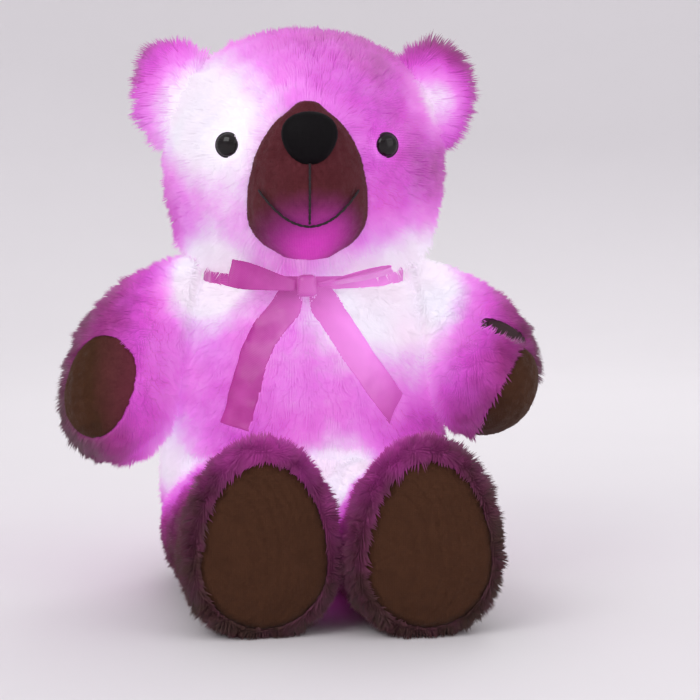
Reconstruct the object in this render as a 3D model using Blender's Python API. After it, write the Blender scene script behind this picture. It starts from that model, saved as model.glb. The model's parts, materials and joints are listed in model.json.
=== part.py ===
"""Plush teddy bear night light, sitting, with lamps and batteries in its stuffing.

Metres, +Z up. The bear looks along -Y and its own left is +X. The origin is the
middle of the flat seat. Each sub-part is one object, made by its own function.
"""
import math

import bmesh
import bpy
from mathutils import Matrix, Vector

# Clearances
GAP = 0.0003
SOCKET_CLEARANCE = 0.0018
STITCH_CLEARANCE = 0.0004
OVERRUN = 0.004
MERGE_DISTANCE = 0.000001
SEAT_CUT = 0.0005

# Torso
TORSO_HEIGHT = 0.226
TORSO_HALF_WIDTH = 0.097
TORSO_FRONT = 0.080
TORSO_BACK = 0.080
TORSO_SHARES = (
    # rise, half width, front, back
    (0.000, 0.58, 0.58, 0.60),
    (0.022, 0.77, 0.77, 0.79),
    (0.090, 0.91, 0.90, 0.93),
    (0.200, 0.98, 0.97, 0.99),
    (0.360, 1.00, 1.00, 1.00),
    (0.530, 0.96, 0.98, 0.98),
    (0.660, 0.92, 0.92, 0.92),
    (0.775, 0.90, 0.84, 0.83),
    (0.860, 0.88, 0.76, 0.73),
    (0.915, 0.79, 0.66, 0.64),
    (0.950, 0.60, 0.56, 0.56),
    (1.000, 0.54, 0.55, 0.55),
)

# Head, ears and muzzle
HEAD_HEIGHT = 0.157
HEAD_HALF_WIDTH = 0.094
HEAD_FRONT = 0.082
HEAD_BACK = 0.080
HEAD_SHARES = (
    (0.000, 0.52, 0.50, 0.52),
    (0.040, 0.72, 0.65, 0.67),
    (0.120, 0.88, 0.80, 0.81),
    (0.250, 0.97, 0.93, 0.93),
    (0.400, 1.00, 1.00, 1.00),
    (0.550, 0.98, 0.99, 1.00),
    (0.700, 0.90, 0.92, 0.94),
    (0.830, 0.75, 0.78, 0.81),
    (0.930, 0.54, 0.56, 0.58),
    (0.982, 0.28, 0.29, 0.30),
    (1.000, 0.08, 0.08, 0.08),
)
EAR_SPREAD = 0.0860
EAR_RISE = 0.113
EAR_HALF_WIDTH = 0.0255
EAR_HALF_THICKNESS = 0.013
EAR_HALF_HEIGHT = 0.037
EAR_CUP = 0.007
EAR_LEAN = math.radians(16)
MUZZLE_BASE = 0.0065
MUZZLE_HEIGHT = 0.099
MUZZLE_HALF_WIDTH = 0.0415
MUZZLE_SETBACK = 0.058
MUZZLE_REACH = 0.055
MUZZLE_BACK = 0.012
MUZZLE_SHARES = (
    (0.000, 0.36, 0.40, 1.0),
    (0.070, 0.70, 0.68, 1.0),
    (0.200, 0.95, 0.92, 1.0),
    (0.360, 1.00, 1.00, 1.0),
    (0.520, 0.98, 1.00, 1.0),
    (0.680, 0.90, 0.95, 1.0),
    (0.840, 0.70, 0.82, 1.0),
    (0.940, 0.48, 0.64, 1.0),
    (1.000, 0.25, 0.46, 1.0),
)

# Face
NOSE_HALF_WIDTH = 0.0182
NOSE_HALF_HEIGHT = 0.0165
NOSE_HALF_DEPTH = 0.0100
NOSE_RISE = 0.0845
NOSE_TAPER = 0.22
NOSE_PROUD = 0.0025
EYE_RADIUS = 0.0080
EYE_DOME = 0.0048
EYE_RIM = 0.0012
EYE_SPREAD = 0.0534
EYE_RISE = 0.080
EYE_TURN = math.radians(18)
EYE_SEAT = 0.0012
SHANK_RADIUS = 0.0022
SHANK_LENGTH = 0.0130
WASHER_RADIUS = 0.0085
WASHER_THICKNESS = 0.0016
WASHER_DEPTH = 0.0075
THREAD_RADIUS = 0.0010
MOUTH_HALF_WIDTH = 0.0320
MOUTH_RISE = 0.0202
MOUTH_SAG = 0.0233
MOUTH_POINTS = 13
LIP_STITCH_POINTS = 7

# Arms
ARM_RADIUS = 0.0355
ARM_RADIUS_SHARES = (1.06, 1.04, 1.02, 1.02, 1.02)
SHOULDER_SPREAD = 0.082
SHOULDER_RISE = 0.190
SHOULDER_TILT = math.radians(10)
SHOULDER_ROOT = 0.055
SHOULDER_ROOT_RISE = 0.191
ELBOW_PLACES = {"left": (0.129, 0.000, 0.180), "right": (0.126, -0.002, 0.192)}
PAW_PLACES = {"left": (0.119, -0.060, 0.148), "right": (0.129, -0.040, 0.129)}
ARM_STEPS = 9
PAW_PAD_THICKNESS = 0.0020
PAW_PAD_HALF_WIDTH = 0.027
PAW_PAD_HALF_HEIGHT = 0.035
PAW_PAD_FACING = {"left": (0.52, -0.72, -0.70), "right": (-0.42, -0.88, 0.10)}
PAW_PAD_ALONG_SHARE = 0.90

# Legs
HIP_RADIUS = 0.046
HIP_SPREAD = 0.050
HIP_SETBACK = 0.042
LEG_LENGTH = 0.146
LEG_SPLAY = {"left": math.radians(8.2), "right": math.radians(7.4)}
LEG_SWING = math.radians(15)
SOLE_HALF_WIDTH = 0.0465
SOLE_REACH_UP = 0.0755
SOLE_BULGE = 0.006
LEG_SHARES = (
    # along, half width of the sole, reach down of the hip, reach up of the sole
    (0.00, 0.985, 1.00, 0.605),
    (0.25, 0.965, 0.99, 0.605),
    (0.50, 0.950, 0.98, 0.620),
    (0.70, 0.965, 1.00, 0.750),
    (0.84, 1.000, 1.00, 0.930),
    (0.94, 1.000, 1.00, 1.000),
    (1.00, 0.930, 0.93, 0.930),
)
SOLE_DOME_SHARES = ((0.55, 0.78), (0.88, 0.50), (1.00, 0.20))
SOLE_PAD_SHARE = 0.86
SOLE_PAD_THICKNESS = 0.0020
SOLE_PAD_WRAP = 0.004

# Ribbon
RIBBON_WIDTH = 0.020
RIBBON_THICKNESS = 0.0008
BAND_HEIGHT = 0.009
BAND_THICKNESS = 0.0012
BAND_HALF_WIDTH = 0.069
BAND_FRONT = 0.058
BAND_BACK = 0.0455
BAND_RISE_FRONT = 0.2135
BAND_RISE_BACK = 0.2200
KNOT_WIDTH = 0.013
KNOT_DEPTH = 0.011
KNOT_HEIGHT = 0.015
KNOT_RISE = 0.2120
KNOT_ROUNDING = 0.0035
LOOP_SIZES = {
    # length, half bulge, height at the end, across direction, along direction
    "right": (0.046, 0.0038, 0.019, (0.10, 0.12, 1.00), (-1.00, -0.06, 0.20)),
    "left": (0.052, 0.0028, 0.012, (0.10, -0.95, 0.42), (1.00, -0.05, 0.23)),
}
LOOP_POINTS = 20
LOOP_ROOT_HEIGHT = 0.008
LOOP_ROOT_HALF_GAP = 0.0009
LOOP_OPENING = 1.3
TAIL_CLEARANCE = 0.0007
TAIL_PLACES = {
    # across and up, from under the knot to the middle of the cut end
    "right": ((-0.0055, 0.2035), (-0.0145, 0.1960), (-0.0315, 0.1745), (-0.0410, 0.1450),
              (-0.0490, 0.1165)),
    "left": ((0.0055, 0.2035), (0.0160, 0.1930), (0.0380, 0.1600), (0.0610, 0.1275)),
}
TAIL_SLANTS = {"right": 0.0, "left": -0.0110}
TAIL_CUT_POWER = 4
TAIL_ACROSS_SHARES = (-1, -0.5, 0, 0.5, 1)
TAIL_ROOT_HALF_WIDTH = 0.0045
TAIL_ROWS = 13
TAIL_FULL_WIDTH_SHARE = 0.28

# Battery pocket, flap and case
CELL_RADIUS = 0.00725
CELL_LENGTH = 0.0505
CELL_NIPPLE_RADIUS = 0.00275
CELL_NIPPLE = 0.0012
CELL_PITCH = 0.0153
CELL_COUNT = 3
CASE_WALL = 0.0015
CONTACT_THICKNESS = 0.0006
CONTACT_WIDTH = 0.0110
CONTACT_HEIGHT = 0.0100
SPRING_HEIGHT = 0.0060
SPRING_FOOT_RADIUS = 0.0048
SPRING_TIP_RADIUS = 0.0028
COVER_THICKNESS = 0.0015
COVER_TRAVEL = 0.0035
COVER_GRIP = 0.0005
COVER_RIBS = 4
COVER_RIB_WIDTH = 0.0200
COVER_RIB_HEIGHT = 0.0010
COVER_RIB_PITCH = 0.0026
POCKET_FLOOR = 0.066
POCKET_BACK = 0.047
FLAP_SEAT = 0.070
FLAP_THICKNESS = 0.0035
FLAP_HALF_WIDTH = 0.033
FLAP_MARGIN = 0.008
FLAP_ROUNDING = 0.0015
STRIP_WIDTH = 0.040
STRIP_HEIGHT = 0.0050
STRIP_THICKNESS = 0.0009

# Lamps and wires
LAMP_RADIUS = 0.0040
LAMP_LENGTH = 0.0090
LAMP_UP = (0, 1, 0.2)
WIRE_RADIUS = 0.0012
TRUNK_RADIUS = 0.0034
WIRE_CLEARANCE = 0.0004
WIRE_POINTS = 7
WIRE_EXIT = 0.006
HEAD_WIRE_OFFSET = 0.0020
HEAD_WIRE_RISE = 0.030
TORSO_LAMP_PLACES = {
    # exit across and up the pocket as shares, a point on the way, the lamp's place
    "shoulder_right": ((-0.5, 0.68), (-0.036, 0.020, 0.150), (-0.058, -0.016, 0.200)),
    "shoulder_left": ((0.5, 0.68), (0.034, 0.018, 0.150), (0.056, -0.020, 0.200)),
    "chest": ((0.0, 0.55), (0.012, -0.004, 0.140), (0.027, -0.044, 0.182)),
    "hip": ((-0.5, 0.30), (-0.040, 0.030, 0.086), (-0.076, 0.012, 0.090)),
}
HEAD_LAMP_PLACE = (0.060, -0.012, 0.332)
HEAD_LAMP_WAY = (0.026, 0.004, 0.280)
ARM_FEED_EXIT_SHARES = (0.5, 0.42)
NECK_EXIT_SHARES = (0.0, 0.86)
ARM_FEED_WAY = (0.050, 0.026, 0.150)

# Press button in the left paw
BUTTON_ALONG_SHARE = 0.90
BUTTON_FACING = (0.38, -0.12, 0.90)
BUTTON_SINK = 0.0025
BUTTON_OVAL_SHARE = 1.25
HOUSING_RADIUS = 0.0135
HOUSING_WALL = 0.0015
HOUSING_DEPTH = 0.0130
LIP_WIDTH = 0.0013
BOARD_THICKNESS = 0.0012
PLUNGER_FLANGE = 0.0024
PATCH_PROUD = 0.0022
PATCH_ROUNDING_SHARE = 0.35
BUTTON_SPRING_RADIUS = 0.0045
BUTTON_SPRING_WALL = 0.0008

# Mesh fineness
FORM_SEGMENTS = 24
LIMB_SEGMENTS = 20
ROUND_SEGMENTS = 20
SMALL_SEGMENTS = 12
END_RING_COUNT = 3
ROWS_BETWEEN = 2
EDGE_SEGMENTS = 2
POCKET_CUTS = 3
POKED_SIDES = 6

# Colours: red, green, blue, roughness, metallic
FINISHES = {
    "plush": (0.93, 0.86, 0.92, 0.95, 0.0),
    "velboa": (0.72, 0.56, 0.48, 0.90, 0.0),
    "satin": (0.86, 0.50, 0.72, 0.40, 0.0),
    "black_gloss": (0.010, 0.008, 0.010, 0.10, 0.0),
    "nose_cloth": (0.020, 0.015, 0.018, 0.60, 0.0),
    "thread": (0.05, 0.02, 0.03, 0.80, 0.0),
    "patch_cloth": (0.20, 0.03, 0.09, 0.75, 0.0),
    "hook_cloth": (0.80, 0.78, 0.80, 0.90, 0.0),
    "case_plastic": (0.86, 0.85, 0.84, 0.45, 0.0),
    "cell_jacket": (0.16, 0.30, 0.42, 0.40, 0.3),
    "contact_metal": (0.78, 0.77, 0.74, 0.30, 1.0),
    "lamp_lens": (0.98, 0.62, 0.86, 0.20, 0.0),
    "wire_cover": (0.82, 0.12, 0.20, 0.45, 0.0),
    "board": (0.05, 0.30, 0.14, 0.50, 0.0),
}

SIDES = {"left": 1, "right": -1}
HEAD_BASE = TORSO_HEIGHT + GAP
HIP_RISE = HIP_RADIUS - SEAT_CUT
CASE_HALF_WIDTH = CELL_PITCH + CELL_RADIUS + GAP + CASE_WALL
CASE_INNER_LENGTH = CELL_LENGTH + SPRING_HEIGHT + 2 * CONTACT_THICKNESS + 3 * GAP
CASE_LENGTH = CASE_INNER_LENGTH + 2 * CASE_WALL
CASE_DEPTH = CASE_WALL + 2 * (CELL_RADIUS + GAP)
CASE_FLOOR = POCKET_FLOOR + GAP
CASE_BACK = POCKET_BACK + GAP
CASE_FRONT = CASE_BACK + CASE_DEPTH
POCKET_TOP = CASE_FLOOR + CASE_LENGTH + COVER_TRAVEL + GAP
FLAP_TOP = POCKET_TOP + FLAP_MARGIN
FLAP_BOTTOM = POCKET_FLOOR - FLAP_MARGIN
FLAP_HINGE_DEPTH = FLAP_SEAT + GAP


# Places on smooth curves

def mix(a, b, share):
    return a + (b - a) * share


def curve_value(p, q, r, s, share):
    """Read a smooth curve between q and r, with p before and s after them."""
    slope_q = (r - p) / 2
    slope_r = (s - q) / 2
    square = share * share
    cube = square * share
    start = (2 * cube - 3 * square + 1) * q + (cube - 2 * square + share) * slope_q
    end = (3 * square - 2 * cube) * r + (cube - square) * slope_r
    return start + end


def smooth_rows(rows, between=ROWS_BETWEEN):
    """Return the rows with others between them, on a smooth curve."""
    result = []
    last = len(rows) - 1
    for index in range(last):
        near = [rows[max(index - 1, 0)], rows[index], rows[index + 1], rows[min(index + 2, last)]]
        for step in range(between):
            share = step / between
            result.append([curve_value(*values, share) for values in zip(*near)])
    result.append(list(rows[last]))
    return result


def row_at(rows, rise):
    """Return the values of the smooth rows at a height share."""
    smooth = smooth_rows(rows)
    for low, high in zip(smooth, smooth[1:]):
        if rise <= high[0]:
            share = (rise - low[0]) / (high[0] - low[0])
            return [mix(a, b, share) for a, b in zip(low, high)]
    return smooth[-1]


def smooth_path(points, count):
    """Return count points, evenly numbered, on a smooth curve through the given ones."""
    rows = [tuple(point) for point in points]
    between = max(1, math.ceil((count - 1) / (len(rows) - 1)))
    return [Vector(row) for row in smooth_rows(rows, between)]


def axes_frame(origin, forward, up=(0, 0, 1)):
    """Return a matrix at origin whose Z axis points along forward."""
    z_axis = Vector(forward).normalized()
    x_axis = Vector(up).cross(z_axis).normalized()
    y_axis = z_axis.cross(x_axis)
    frame = Matrix((x_axis, y_axis, z_axis)).transposed().to_4x4()
    frame.translation = Vector(origin)
    return frame


# Objects, materials and cuts

def make_materials():
    materials = {}
    for name, (red, green, blue, roughness, metallic) in FINISHES.items():
        material = bpy.data.materials.new(name)
        material.use_nodes = True
        shader = material.node_tree.nodes["Principled BSDF"]
        shader.inputs["Base Color"].default_value = (red, green, blue, 1)
        shader.inputs["Roughness"].default_value = roughness
        shader.inputs["Metallic"].default_value = metallic
        materials[name] = material
    return materials


def make_pivots():
    """Return an empty on each joint's axis; moving pieces hang from them."""
    places = {
        "rest": (0, 0, 0),
        "head_turn": (0, 0, TORSO_HEIGHT),
        "flap_hinge": (0, FLAP_HINGE_DEPTH + FLAP_THICKNESS, FLAP_TOP),
        "cover_slide": (0, CASE_FRONT, CASE_FLOOR),
        "button_press": tuple(button_frame().translation),
    }
    for side, sign in SIDES.items():
        places[f"arm_{side}"] = (sign * SHOULDER_SPREAD, 0, SHOULDER_RISE)
        places[f"leg_{side}"] = tuple(hip_place(side))
    pivots = {}
    for name, place in places.items():
        empty = bpy.data.objects.new(f"pivot_{name}", None)
        empty.location = place
        bpy.context.scene.collection.objects.link(empty)
        pivots[name] = empty
    pivots["button_press"].parent = pivots["arm_left"]
    pivots["button_press"].location = Vector(places["button_press"]) - Vector(places["arm_left"])
    return pivots, {name: Vector(place) for name, place in places.items()}


def add_object(name, mesh_source, material, joint="rest"):
    """Link a mesh made in world places as an object that hangs from its joint's empty."""
    mesh = bpy.data.meshes.new(name)
    bmesh.ops.recalc_face_normals(mesh_source, faces=mesh_source.faces)
    bmesh.ops.translate(mesh_source, verts=mesh_source.verts, vec=-PLACES[joint])
    mesh_source.to_mesh(mesh)
    mesh_source.free()
    mesh.shade_smooth()
    mesh.set_sharp_from_angle(angle=math.radians(35))
    piece = bpy.data.objects.new(name, mesh)
    bpy.context.scene.collection.objects.link(piece)
    piece.parent = PIVOTS[joint]
    mesh.materials.append(MATERIALS[material])
    return piece


def add_guide(name, mesh_source, joint="rest"):
    """Link a hidden cutter."""
    guide = add_object(name, mesh_source, "plush", joint)
    guide.hide_render = True
    guide.display_type = "WIRE"
    return guide


def combine(piece, guide, operation="DIFFERENCE"):
    """Cut, join or trim a piece by another shape."""
    modifier = piece.modifiers.new(guide.name, "BOOLEAN")
    modifier.object = guide
    modifier.operation = operation
    modifier.solver = "EXACT"


def bevel_edges(piece, width):
    modifier = piece.modifiers.new("soft_edges", "BEVEL")
    modifier.width = width
    modifier.segments = EDGE_SEGMENTS
    modifier.limit_method = "ANGLE"


# Shapes

def lofted(rings, closed=False):
    """Return a solid skinned over rings of points, capped at its ends or closed on itself."""
    shape = bmesh.new()
    if closed:
        rings = list(rings) + [rings[0]]
    made = bmesh.ops.create_circle(shape, segments=len(rings[0]), radius=1, cap_ends=False)
    ring = made["verts"]
    edges = list({edge for vert in ring for edge in vert.link_edges})
    ring = walk_ring(ring)
    first_edges = edges
    for vert, place in zip(ring, rings[0]):
        vert.co = place
    for places in rings[1:]:
        grown = bmesh.ops.extrude_edge_only(shape, edges=edges)["geom"]
        new_verts = {item for item in grown if isinstance(item, bmesh.types.BMVert)}
        ring = [next(edge.other_vert(vert) for edge in vert.link_edges
                     if edge.other_vert(vert) in new_verts) for vert in ring]
        edges = [item for item in grown if isinstance(item, bmesh.types.BMEdge)
                 and item.verts[0] in new_verts and item.verts[1] in new_verts]
        for vert, place in zip(ring, places):
            vert.co = place
    if closed:
        bmesh.ops.remove_doubles(shape, verts=shape.verts, dist=MERGE_DISTANCE)
    else:
        caps = bmesh.ops.contextual_create(shape, geom=first_edges)["faces"]
        caps += bmesh.ops.contextual_create(shape, geom=edges)["faces"]
        if len(rings[0]) >= POKED_SIDES:
            bmesh.ops.poke(shape, faces=caps)
    return shape


def walk_ring(verts):
    """Return a ring's points in order round it."""
    ordered = [verts[0]]
    while len(ordered) < len(verts):
        here = ordered[-1]
        following = [edge.other_vert(here) for edge in here.link_edges]
        fresh = [vert for vert in following if vert not in ordered]
        ordered.append(fresh[0])
    return ordered


def round_ring(frame, radius, height, segments):
    turns = [2 * math.pi * index / segments for index in range(segments)]
    return [frame @ Vector((radius * math.cos(a), radius * math.sin(a), height)) for a in turns]


def turned(frame, profile, segments=SMALL_SEGMENTS, closed=False):
    """Return a turned solid from radius and height pairs along the frame's Z axis."""
    return lofted([round_ring(frame, radius, height, segments) for radius, height in profile], closed)


def boxed(low, high):
    shape = bmesh.new()
    bmesh.ops.create_cube(shape, size=1)
    low = Vector(low)
    high = Vector(high)
    bmesh.ops.scale(shape, vec=high - low, verts=shape.verts)
    bmesh.ops.translate(shape, vec=(low + high) / 2, verts=shape.verts)
    return shape


def tube(points, radius):
    """Return a tube along points, flat and square at its ends, without a twist."""
    rings = []
    aside = (points[1] - points[0]).orthogonal()
    for index, point in enumerate(points):
        arriving = point - points[max(index - 1, 0)]
        leaving = points[min(index + 1, len(points) - 1)] - point
        along = (arriving.normalized() + leaving.normalized()).normalized()
        aside = aside - along * aside.dot(along)
        frame = axes_frame(point, along, up=aside)
        rings.append(round_ring(frame, radius, 0, SMALL_SEGMENTS // 2))
    return lofted(rings)


# Soft forms

def upright_form(shares, base, height, half_width, front, back, centre=0, segments=FORM_SEGMENTS):
    """Return a form of level rings, each with its own width, front and back."""
    rings = []
    for rise, wide, fore, aft in smooth_rows(shares):
        ring = []
        for index in range(segments):
            turn = 2 * math.pi * index / segments
            depth = back * aft if math.sin(turn) > 0 else front * fore
            x = half_width * wide * math.cos(turn)
            ring.append(Vector((x, centre + depth * math.sin(turn), base + height * rise)))
        rings.append(ring)
    return lofted(rings)


def front_face(shares, base, height, half_width, front, centre, x, z):
    """Return how far forward the surface of an upright form is, as a y value."""
    row = row_at(shares, (z - base) / height)
    across = min(1, abs(x) / (half_width * row[1]))
    return centre - front * row[2] * math.sqrt(1 - across * across)


def torso_front(x, z):
    return front_face(TORSO_SHARES, 0, TORSO_HEIGHT, TORSO_HALF_WIDTH, TORSO_FRONT, 0, x, z)


def muzzle_front(x, z):
    base = HEAD_BASE + MUZZLE_BASE
    return front_face(MUZZLE_SHARES, base, MUZZLE_HEIGHT, MUZZLE_HALF_WIDTH, MUZZLE_REACH,
                      -MUZZLE_SETBACK, x, z)


def head_front(x, z):
    return front_face(HEAD_SHARES, HEAD_BASE, HEAD_HEIGHT, HEAD_HALF_WIDTH, HEAD_FRONT, 0, x, z)


def shoulder_normal(side):
    sign = SIDES[side]
    return Vector((sign * math.cos(SHOULDER_TILT), 0, math.sin(SHOULDER_TILT)))


def half_space(name, place, normal, joint="rest"):
    """Return a large hidden block on the side of a plane that its normal points to."""
    frame = axes_frame(place, normal, up=(0, 1, 0))
    reach = TORSO_HEIGHT
    block = boxed((-reach, -reach, 0), (reach, reach, reach))
    bmesh.ops.subdivide_edges(block, edges=block.edges, cuts=1, use_grid_fill=True)
    bmesh.ops.transform(block, matrix=frame, verts=block.verts)
    return add_guide(name, block, joint)


def make_torso():
    torso = add_object("torso", upright_form(TORSO_SHARES, 0, TORSO_HEIGHT, TORSO_HALF_WIDTH,
                                             TORSO_FRONT, TORSO_BACK), "plush")
    for side in SIDES:
        place = PLACES[f"arm_{side}"]
        combine(torso, half_space(f"shoulder_cut_{side}", place, shoulder_normal(side)))
        cut_hip_socket(torso, side)
    cut_lap(torso)
    cut_pocket(torso)
    return torso


def cut_hip_socket(torso, side):
    """Cut the seat of a thigh."""
    centre = hip_place(side)
    ball = bmesh.new()
    bmesh.ops.create_uvsphere(ball, u_segments=ROUND_SEGMENTS, v_segments=SMALL_SEGMENTS,
                              radius=HIP_RADIUS + GAP + facet_depth(HIP_RADIUS))
    bmesh.ops.translate(ball, vec=centre, verts=ball.verts)
    combine(torso, add_guide(f"hip_ball_{side}", ball))


def cut_lap(torso):
    """Clear the belly's underside for the thighs, over their whole swing."""
    back = HIP_RADIUS * math.sin(LEG_SWING) / 2 - HIP_SETBACK
    front = -TORSO_FRONT - OVERRUN
    root = HIP_RISE + (HIP_RADIUS + SOCKET_CLEARANCE) / math.cos(LEG_SWING)
    rise = root + (back - front) * math.tan(LEG_SWING)
    reach = TORSO_HALF_WIDTH + OVERRUN
    outline = [(back, -OVERRUN), (back, root), (front, rise), (front, -OVERRUN)]
    lap = lofted([[Vector((x, y, z)) for y, z in outline] for x in (-reach, reach)])
    combine(torso, add_guide("lap_cut", lap))


def facet_depth(radius):
    """Return how far a faceted ball's faces lie inside its radius."""
    return 2 * radius * (1 - math.cos(math.pi / SMALL_SEGMENTS / 2))


def cut_pocket(torso):
    half_width = CASE_HALF_WIDTH + GAP
    depth = TORSO_BACK + OVERRUN
    pocket = boxed((-half_width, POCKET_BACK, POCKET_FLOOR), (half_width, depth, POCKET_TOP))
    bmesh.ops.subdivide_edges(pocket, edges=pocket.edges, cuts=POCKET_CUTS, use_grid_fill=True)
    combine(torso, add_guide("pocket_cut", pocket))
    edge = FLAP_HALF_WIDTH + GAP
    seat = boxed((-edge, FLAP_SEAT, FLAP_BOTTOM - GAP), (edge, depth, FLAP_TOP + GAP))
    combine(torso, add_guide("flap_seat_cut", seat))
    half_strip = STRIP_WIDTH / 2 + GAP
    low = strip_floor() - GAP
    recess = boxed((-half_strip, FLAP_SEAT - STRIP_THICKNESS - GAP, low),
                   (half_strip, depth, low + STRIP_HEIGHT + 2 * GAP))
    combine(torso, add_guide("loop_strip_cut", recess))


def strip_floor():
    return (FLAP_BOTTOM + POCKET_FLOOR - STRIP_HEIGHT) / 2


def make_head():
    head = add_object("head", upright_form(HEAD_SHARES, HEAD_BASE, HEAD_HEIGHT, HEAD_HALF_WIDTH,
                                           HEAD_FRONT, HEAD_BACK), "plush", "head_turn")
    for side in SIDES:
        combine(head, add_guide(f"eye_cut_{side}", eye_cutter(side), "head_turn"))
    return head


def make_muzzle(envelope):
    base = HEAD_BASE + MUZZLE_BASE
    form = upright_form(MUZZLE_SHARES, base, MUZZLE_HEIGHT, MUZZLE_HALF_WIDTH, MUZZLE_REACH,
                        MUZZLE_BACK, centre=-MUZZLE_SETBACK, segments=FORM_SEGMENTS)
    muzzle = add_object("muzzle", form, "velboa", "head_turn")
    combine(muzzle, envelope)


def head_envelope():
    """Return the head's outer form with a gap round it, to trim what is sewn on."""
    form = upright_form(HEAD_SHARES, HEAD_BASE, HEAD_HEIGHT, HEAD_HALF_WIDTH + GAP,
                        HEAD_FRONT + GAP, HEAD_BACK + GAP)
    return add_guide("head_envelope", form, "head_turn")


def make_ear(side, envelope):
    sign = SIDES[side]
    ear = bmesh.new()
    bmesh.ops.create_uvsphere(ear, u_segments=FORM_SEGMENTS - 8, v_segments=SMALL_SEGMENTS - 2,
                              radius=1)
    for vert in ear.verts:
        dish = 1 - vert.co.x ** 2 - vert.co.z ** 2
        bulge = EAR_CUP * dish if vert.co.y < 0 else 0
        vert.co = (vert.co.x * EAR_HALF_WIDTH, vert.co.y * EAR_HALF_THICKNESS + bulge,
                   vert.co.z * EAR_HALF_HEIGHT)
    lean = Matrix.Rotation(sign * EAR_LEAN, 4, "Y")
    place = Matrix.Translation((sign * EAR_SPREAD, 0, HEAD_BASE + EAR_RISE))
    bmesh.ops.transform(ear, matrix=place @ lean, verts=ear.verts)
    piece = add_object(f"ear_{side}", ear, "plush", "head_turn")
    combine(piece, envelope)


# Face

def make_nose(muzzle_guide):
    z = HEAD_BASE + NOSE_RISE
    nose = bmesh.new()
    bmesh.ops.create_uvsphere(nose, u_segments=ROUND_SEGMENTS, v_segments=SMALL_SEGMENTS, radius=1)
    for vert in nose.verts:
        wide = 1 + NOSE_TAPER * vert.co.z
        vert.co.x *= NOSE_HALF_WIDTH * wide
        vert.co.y *= NOSE_HALF_DEPTH
        vert.co.z *= NOSE_HALF_HEIGHT
    y = muzzle_front(0, z) - NOSE_PROUD
    bmesh.ops.translate(nose, vec=(0, y, z), verts=nose.verts)
    piece = add_object("nose", nose, "nose_cloth", "head_turn")
    combine(piece, muzzle_guide)


def muzzle_envelope():
    base = HEAD_BASE + MUZZLE_BASE
    form = upright_form(MUZZLE_SHARES, base, MUZZLE_HEIGHT, MUZZLE_HALF_WIDTH + GAP,
                        MUZZLE_REACH + GAP, MUZZLE_BACK + GAP, centre=-MUZZLE_SETBACK,
                        segments=FORM_SEGMENTS)
    return add_guide("muzzle_envelope", form, "head_turn")


def eye_frame(side):
    """Return a frame on the head's surface whose Z axis points out of the eye."""
    sign = SIDES[side]
    z = HEAD_BASE + EYE_RISE
    x = sign * EYE_SPREAD
    outward = (sign * math.sin(EYE_TURN), -math.cos(EYE_TURN), 0)
    frame = axes_frame((x, head_front(x, z), z), outward)
    return frame @ Matrix.Translation((0, 0, -EYE_SEAT + GAP))


def eye_cutter(side):
    bore = SHANK_RADIUS + GAP
    seat = EYE_RADIUS + GAP
    chamber = WASHER_RADIUS + GAP
    low = -WASHER_DEPTH - WASHER_THICKNESS - GAP
    profile = [(bore, -SHANK_LENGTH - GAP), (bore, low), (chamber, low),
               (chamber, -WASHER_DEPTH + GAP), (bore, -WASHER_DEPTH + GAP), (bore, -GAP),
               (seat, -GAP), (seat, EYE_DOME + OVERRUN)]
    return turned(eye_frame(side), profile)


def make_eye(side):
    dome = [(EYE_RADIUS, 0), (EYE_RADIUS, EYE_RIM)]
    for step in range(1, END_RING_COUNT + 1):
        turn = step / (END_RING_COUNT + 0.5) * math.pi / 2
        height = EYE_RIM + (EYE_DOME - EYE_RIM) * math.sin(turn)
        dome.append((EYE_RADIUS * math.cos(turn), height))
    profile = [(SHANK_RADIUS, -SHANK_LENGTH), (SHANK_RADIUS, 0)] + dome
    add_object(f"eye_{side}", turned(eye_frame(side), profile), "black_gloss", "head_turn")
    inner = SHANK_RADIUS + GAP
    low = -WASHER_DEPTH - WASHER_THICKNESS
    ring = [(inner, low), (WASHER_RADIUS, low), (WASHER_RADIUS, -WASHER_DEPTH), (inner, -WASHER_DEPTH)]
    washer = turned(eye_frame(side), ring, closed=True)
    add_object(f"eye_washer_{side}", washer, "case_plastic", "head_turn")


def make_stitches():
    """Lay the smile and the line below the nose on the muzzle."""
    proud = THREAD_RADIUS + STITCH_CLEARANCE
    ends = HEAD_BASE + MUZZLE_BASE + MOUTH_RISE + MOUTH_SAG
    smile = []
    for index in range(MOUTH_POINTS):
        across = 2 * index / (MOUTH_POINTS - 1) - 1
        x = across * MOUTH_HALF_WIDTH
        z = ends - MOUTH_SAG * (1 - across * across)
        smile.append(on_muzzle(x, z, proud))
    add_object("mouth_stitch", tube(smile, THREAD_RADIUS), "thread", "head_turn")
    low = ends - MOUTH_SAG + 2 * proud
    high = HEAD_BASE + NOSE_RISE - NOSE_HALF_HEIGHT - proud
    heights = [mix(low, high, index / (LIP_STITCH_POINTS - 1)) for index in range(LIP_STITCH_POINTS)]
    line = [on_muzzle(0, z, proud) for z in heights]
    add_object("lip_stitch", tube(line, THREAD_RADIUS), "thread", "head_turn")


def on_muzzle(x, z, proud):
    """Return a point that stands proud of the muzzle's surface along its normal."""
    step = THREAD_RADIUS
    y = muzzle_front(x, z)
    across = muzzle_front(x + step, z) - muzzle_front(x - step, z)
    rise = muzzle_front(x, z + step) - muzzle_front(x, z - step)
    normal = Vector((across, -2 * step, rise)).normalized()
    return Vector((x, y, z)) + normal * proud


# Arms

def arm_points(side):
    sign = SIDES[side]
    root = Vector((sign * SHOULDER_ROOT, 0, SHOULDER_ROOT_RISE))
    elbow = Vector(ELBOW_PLACES[side])
    paw = Vector(PAW_PLACES[side])
    elbow.x *= sign
    paw.x *= sign
    return root, elbow, paw


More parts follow.
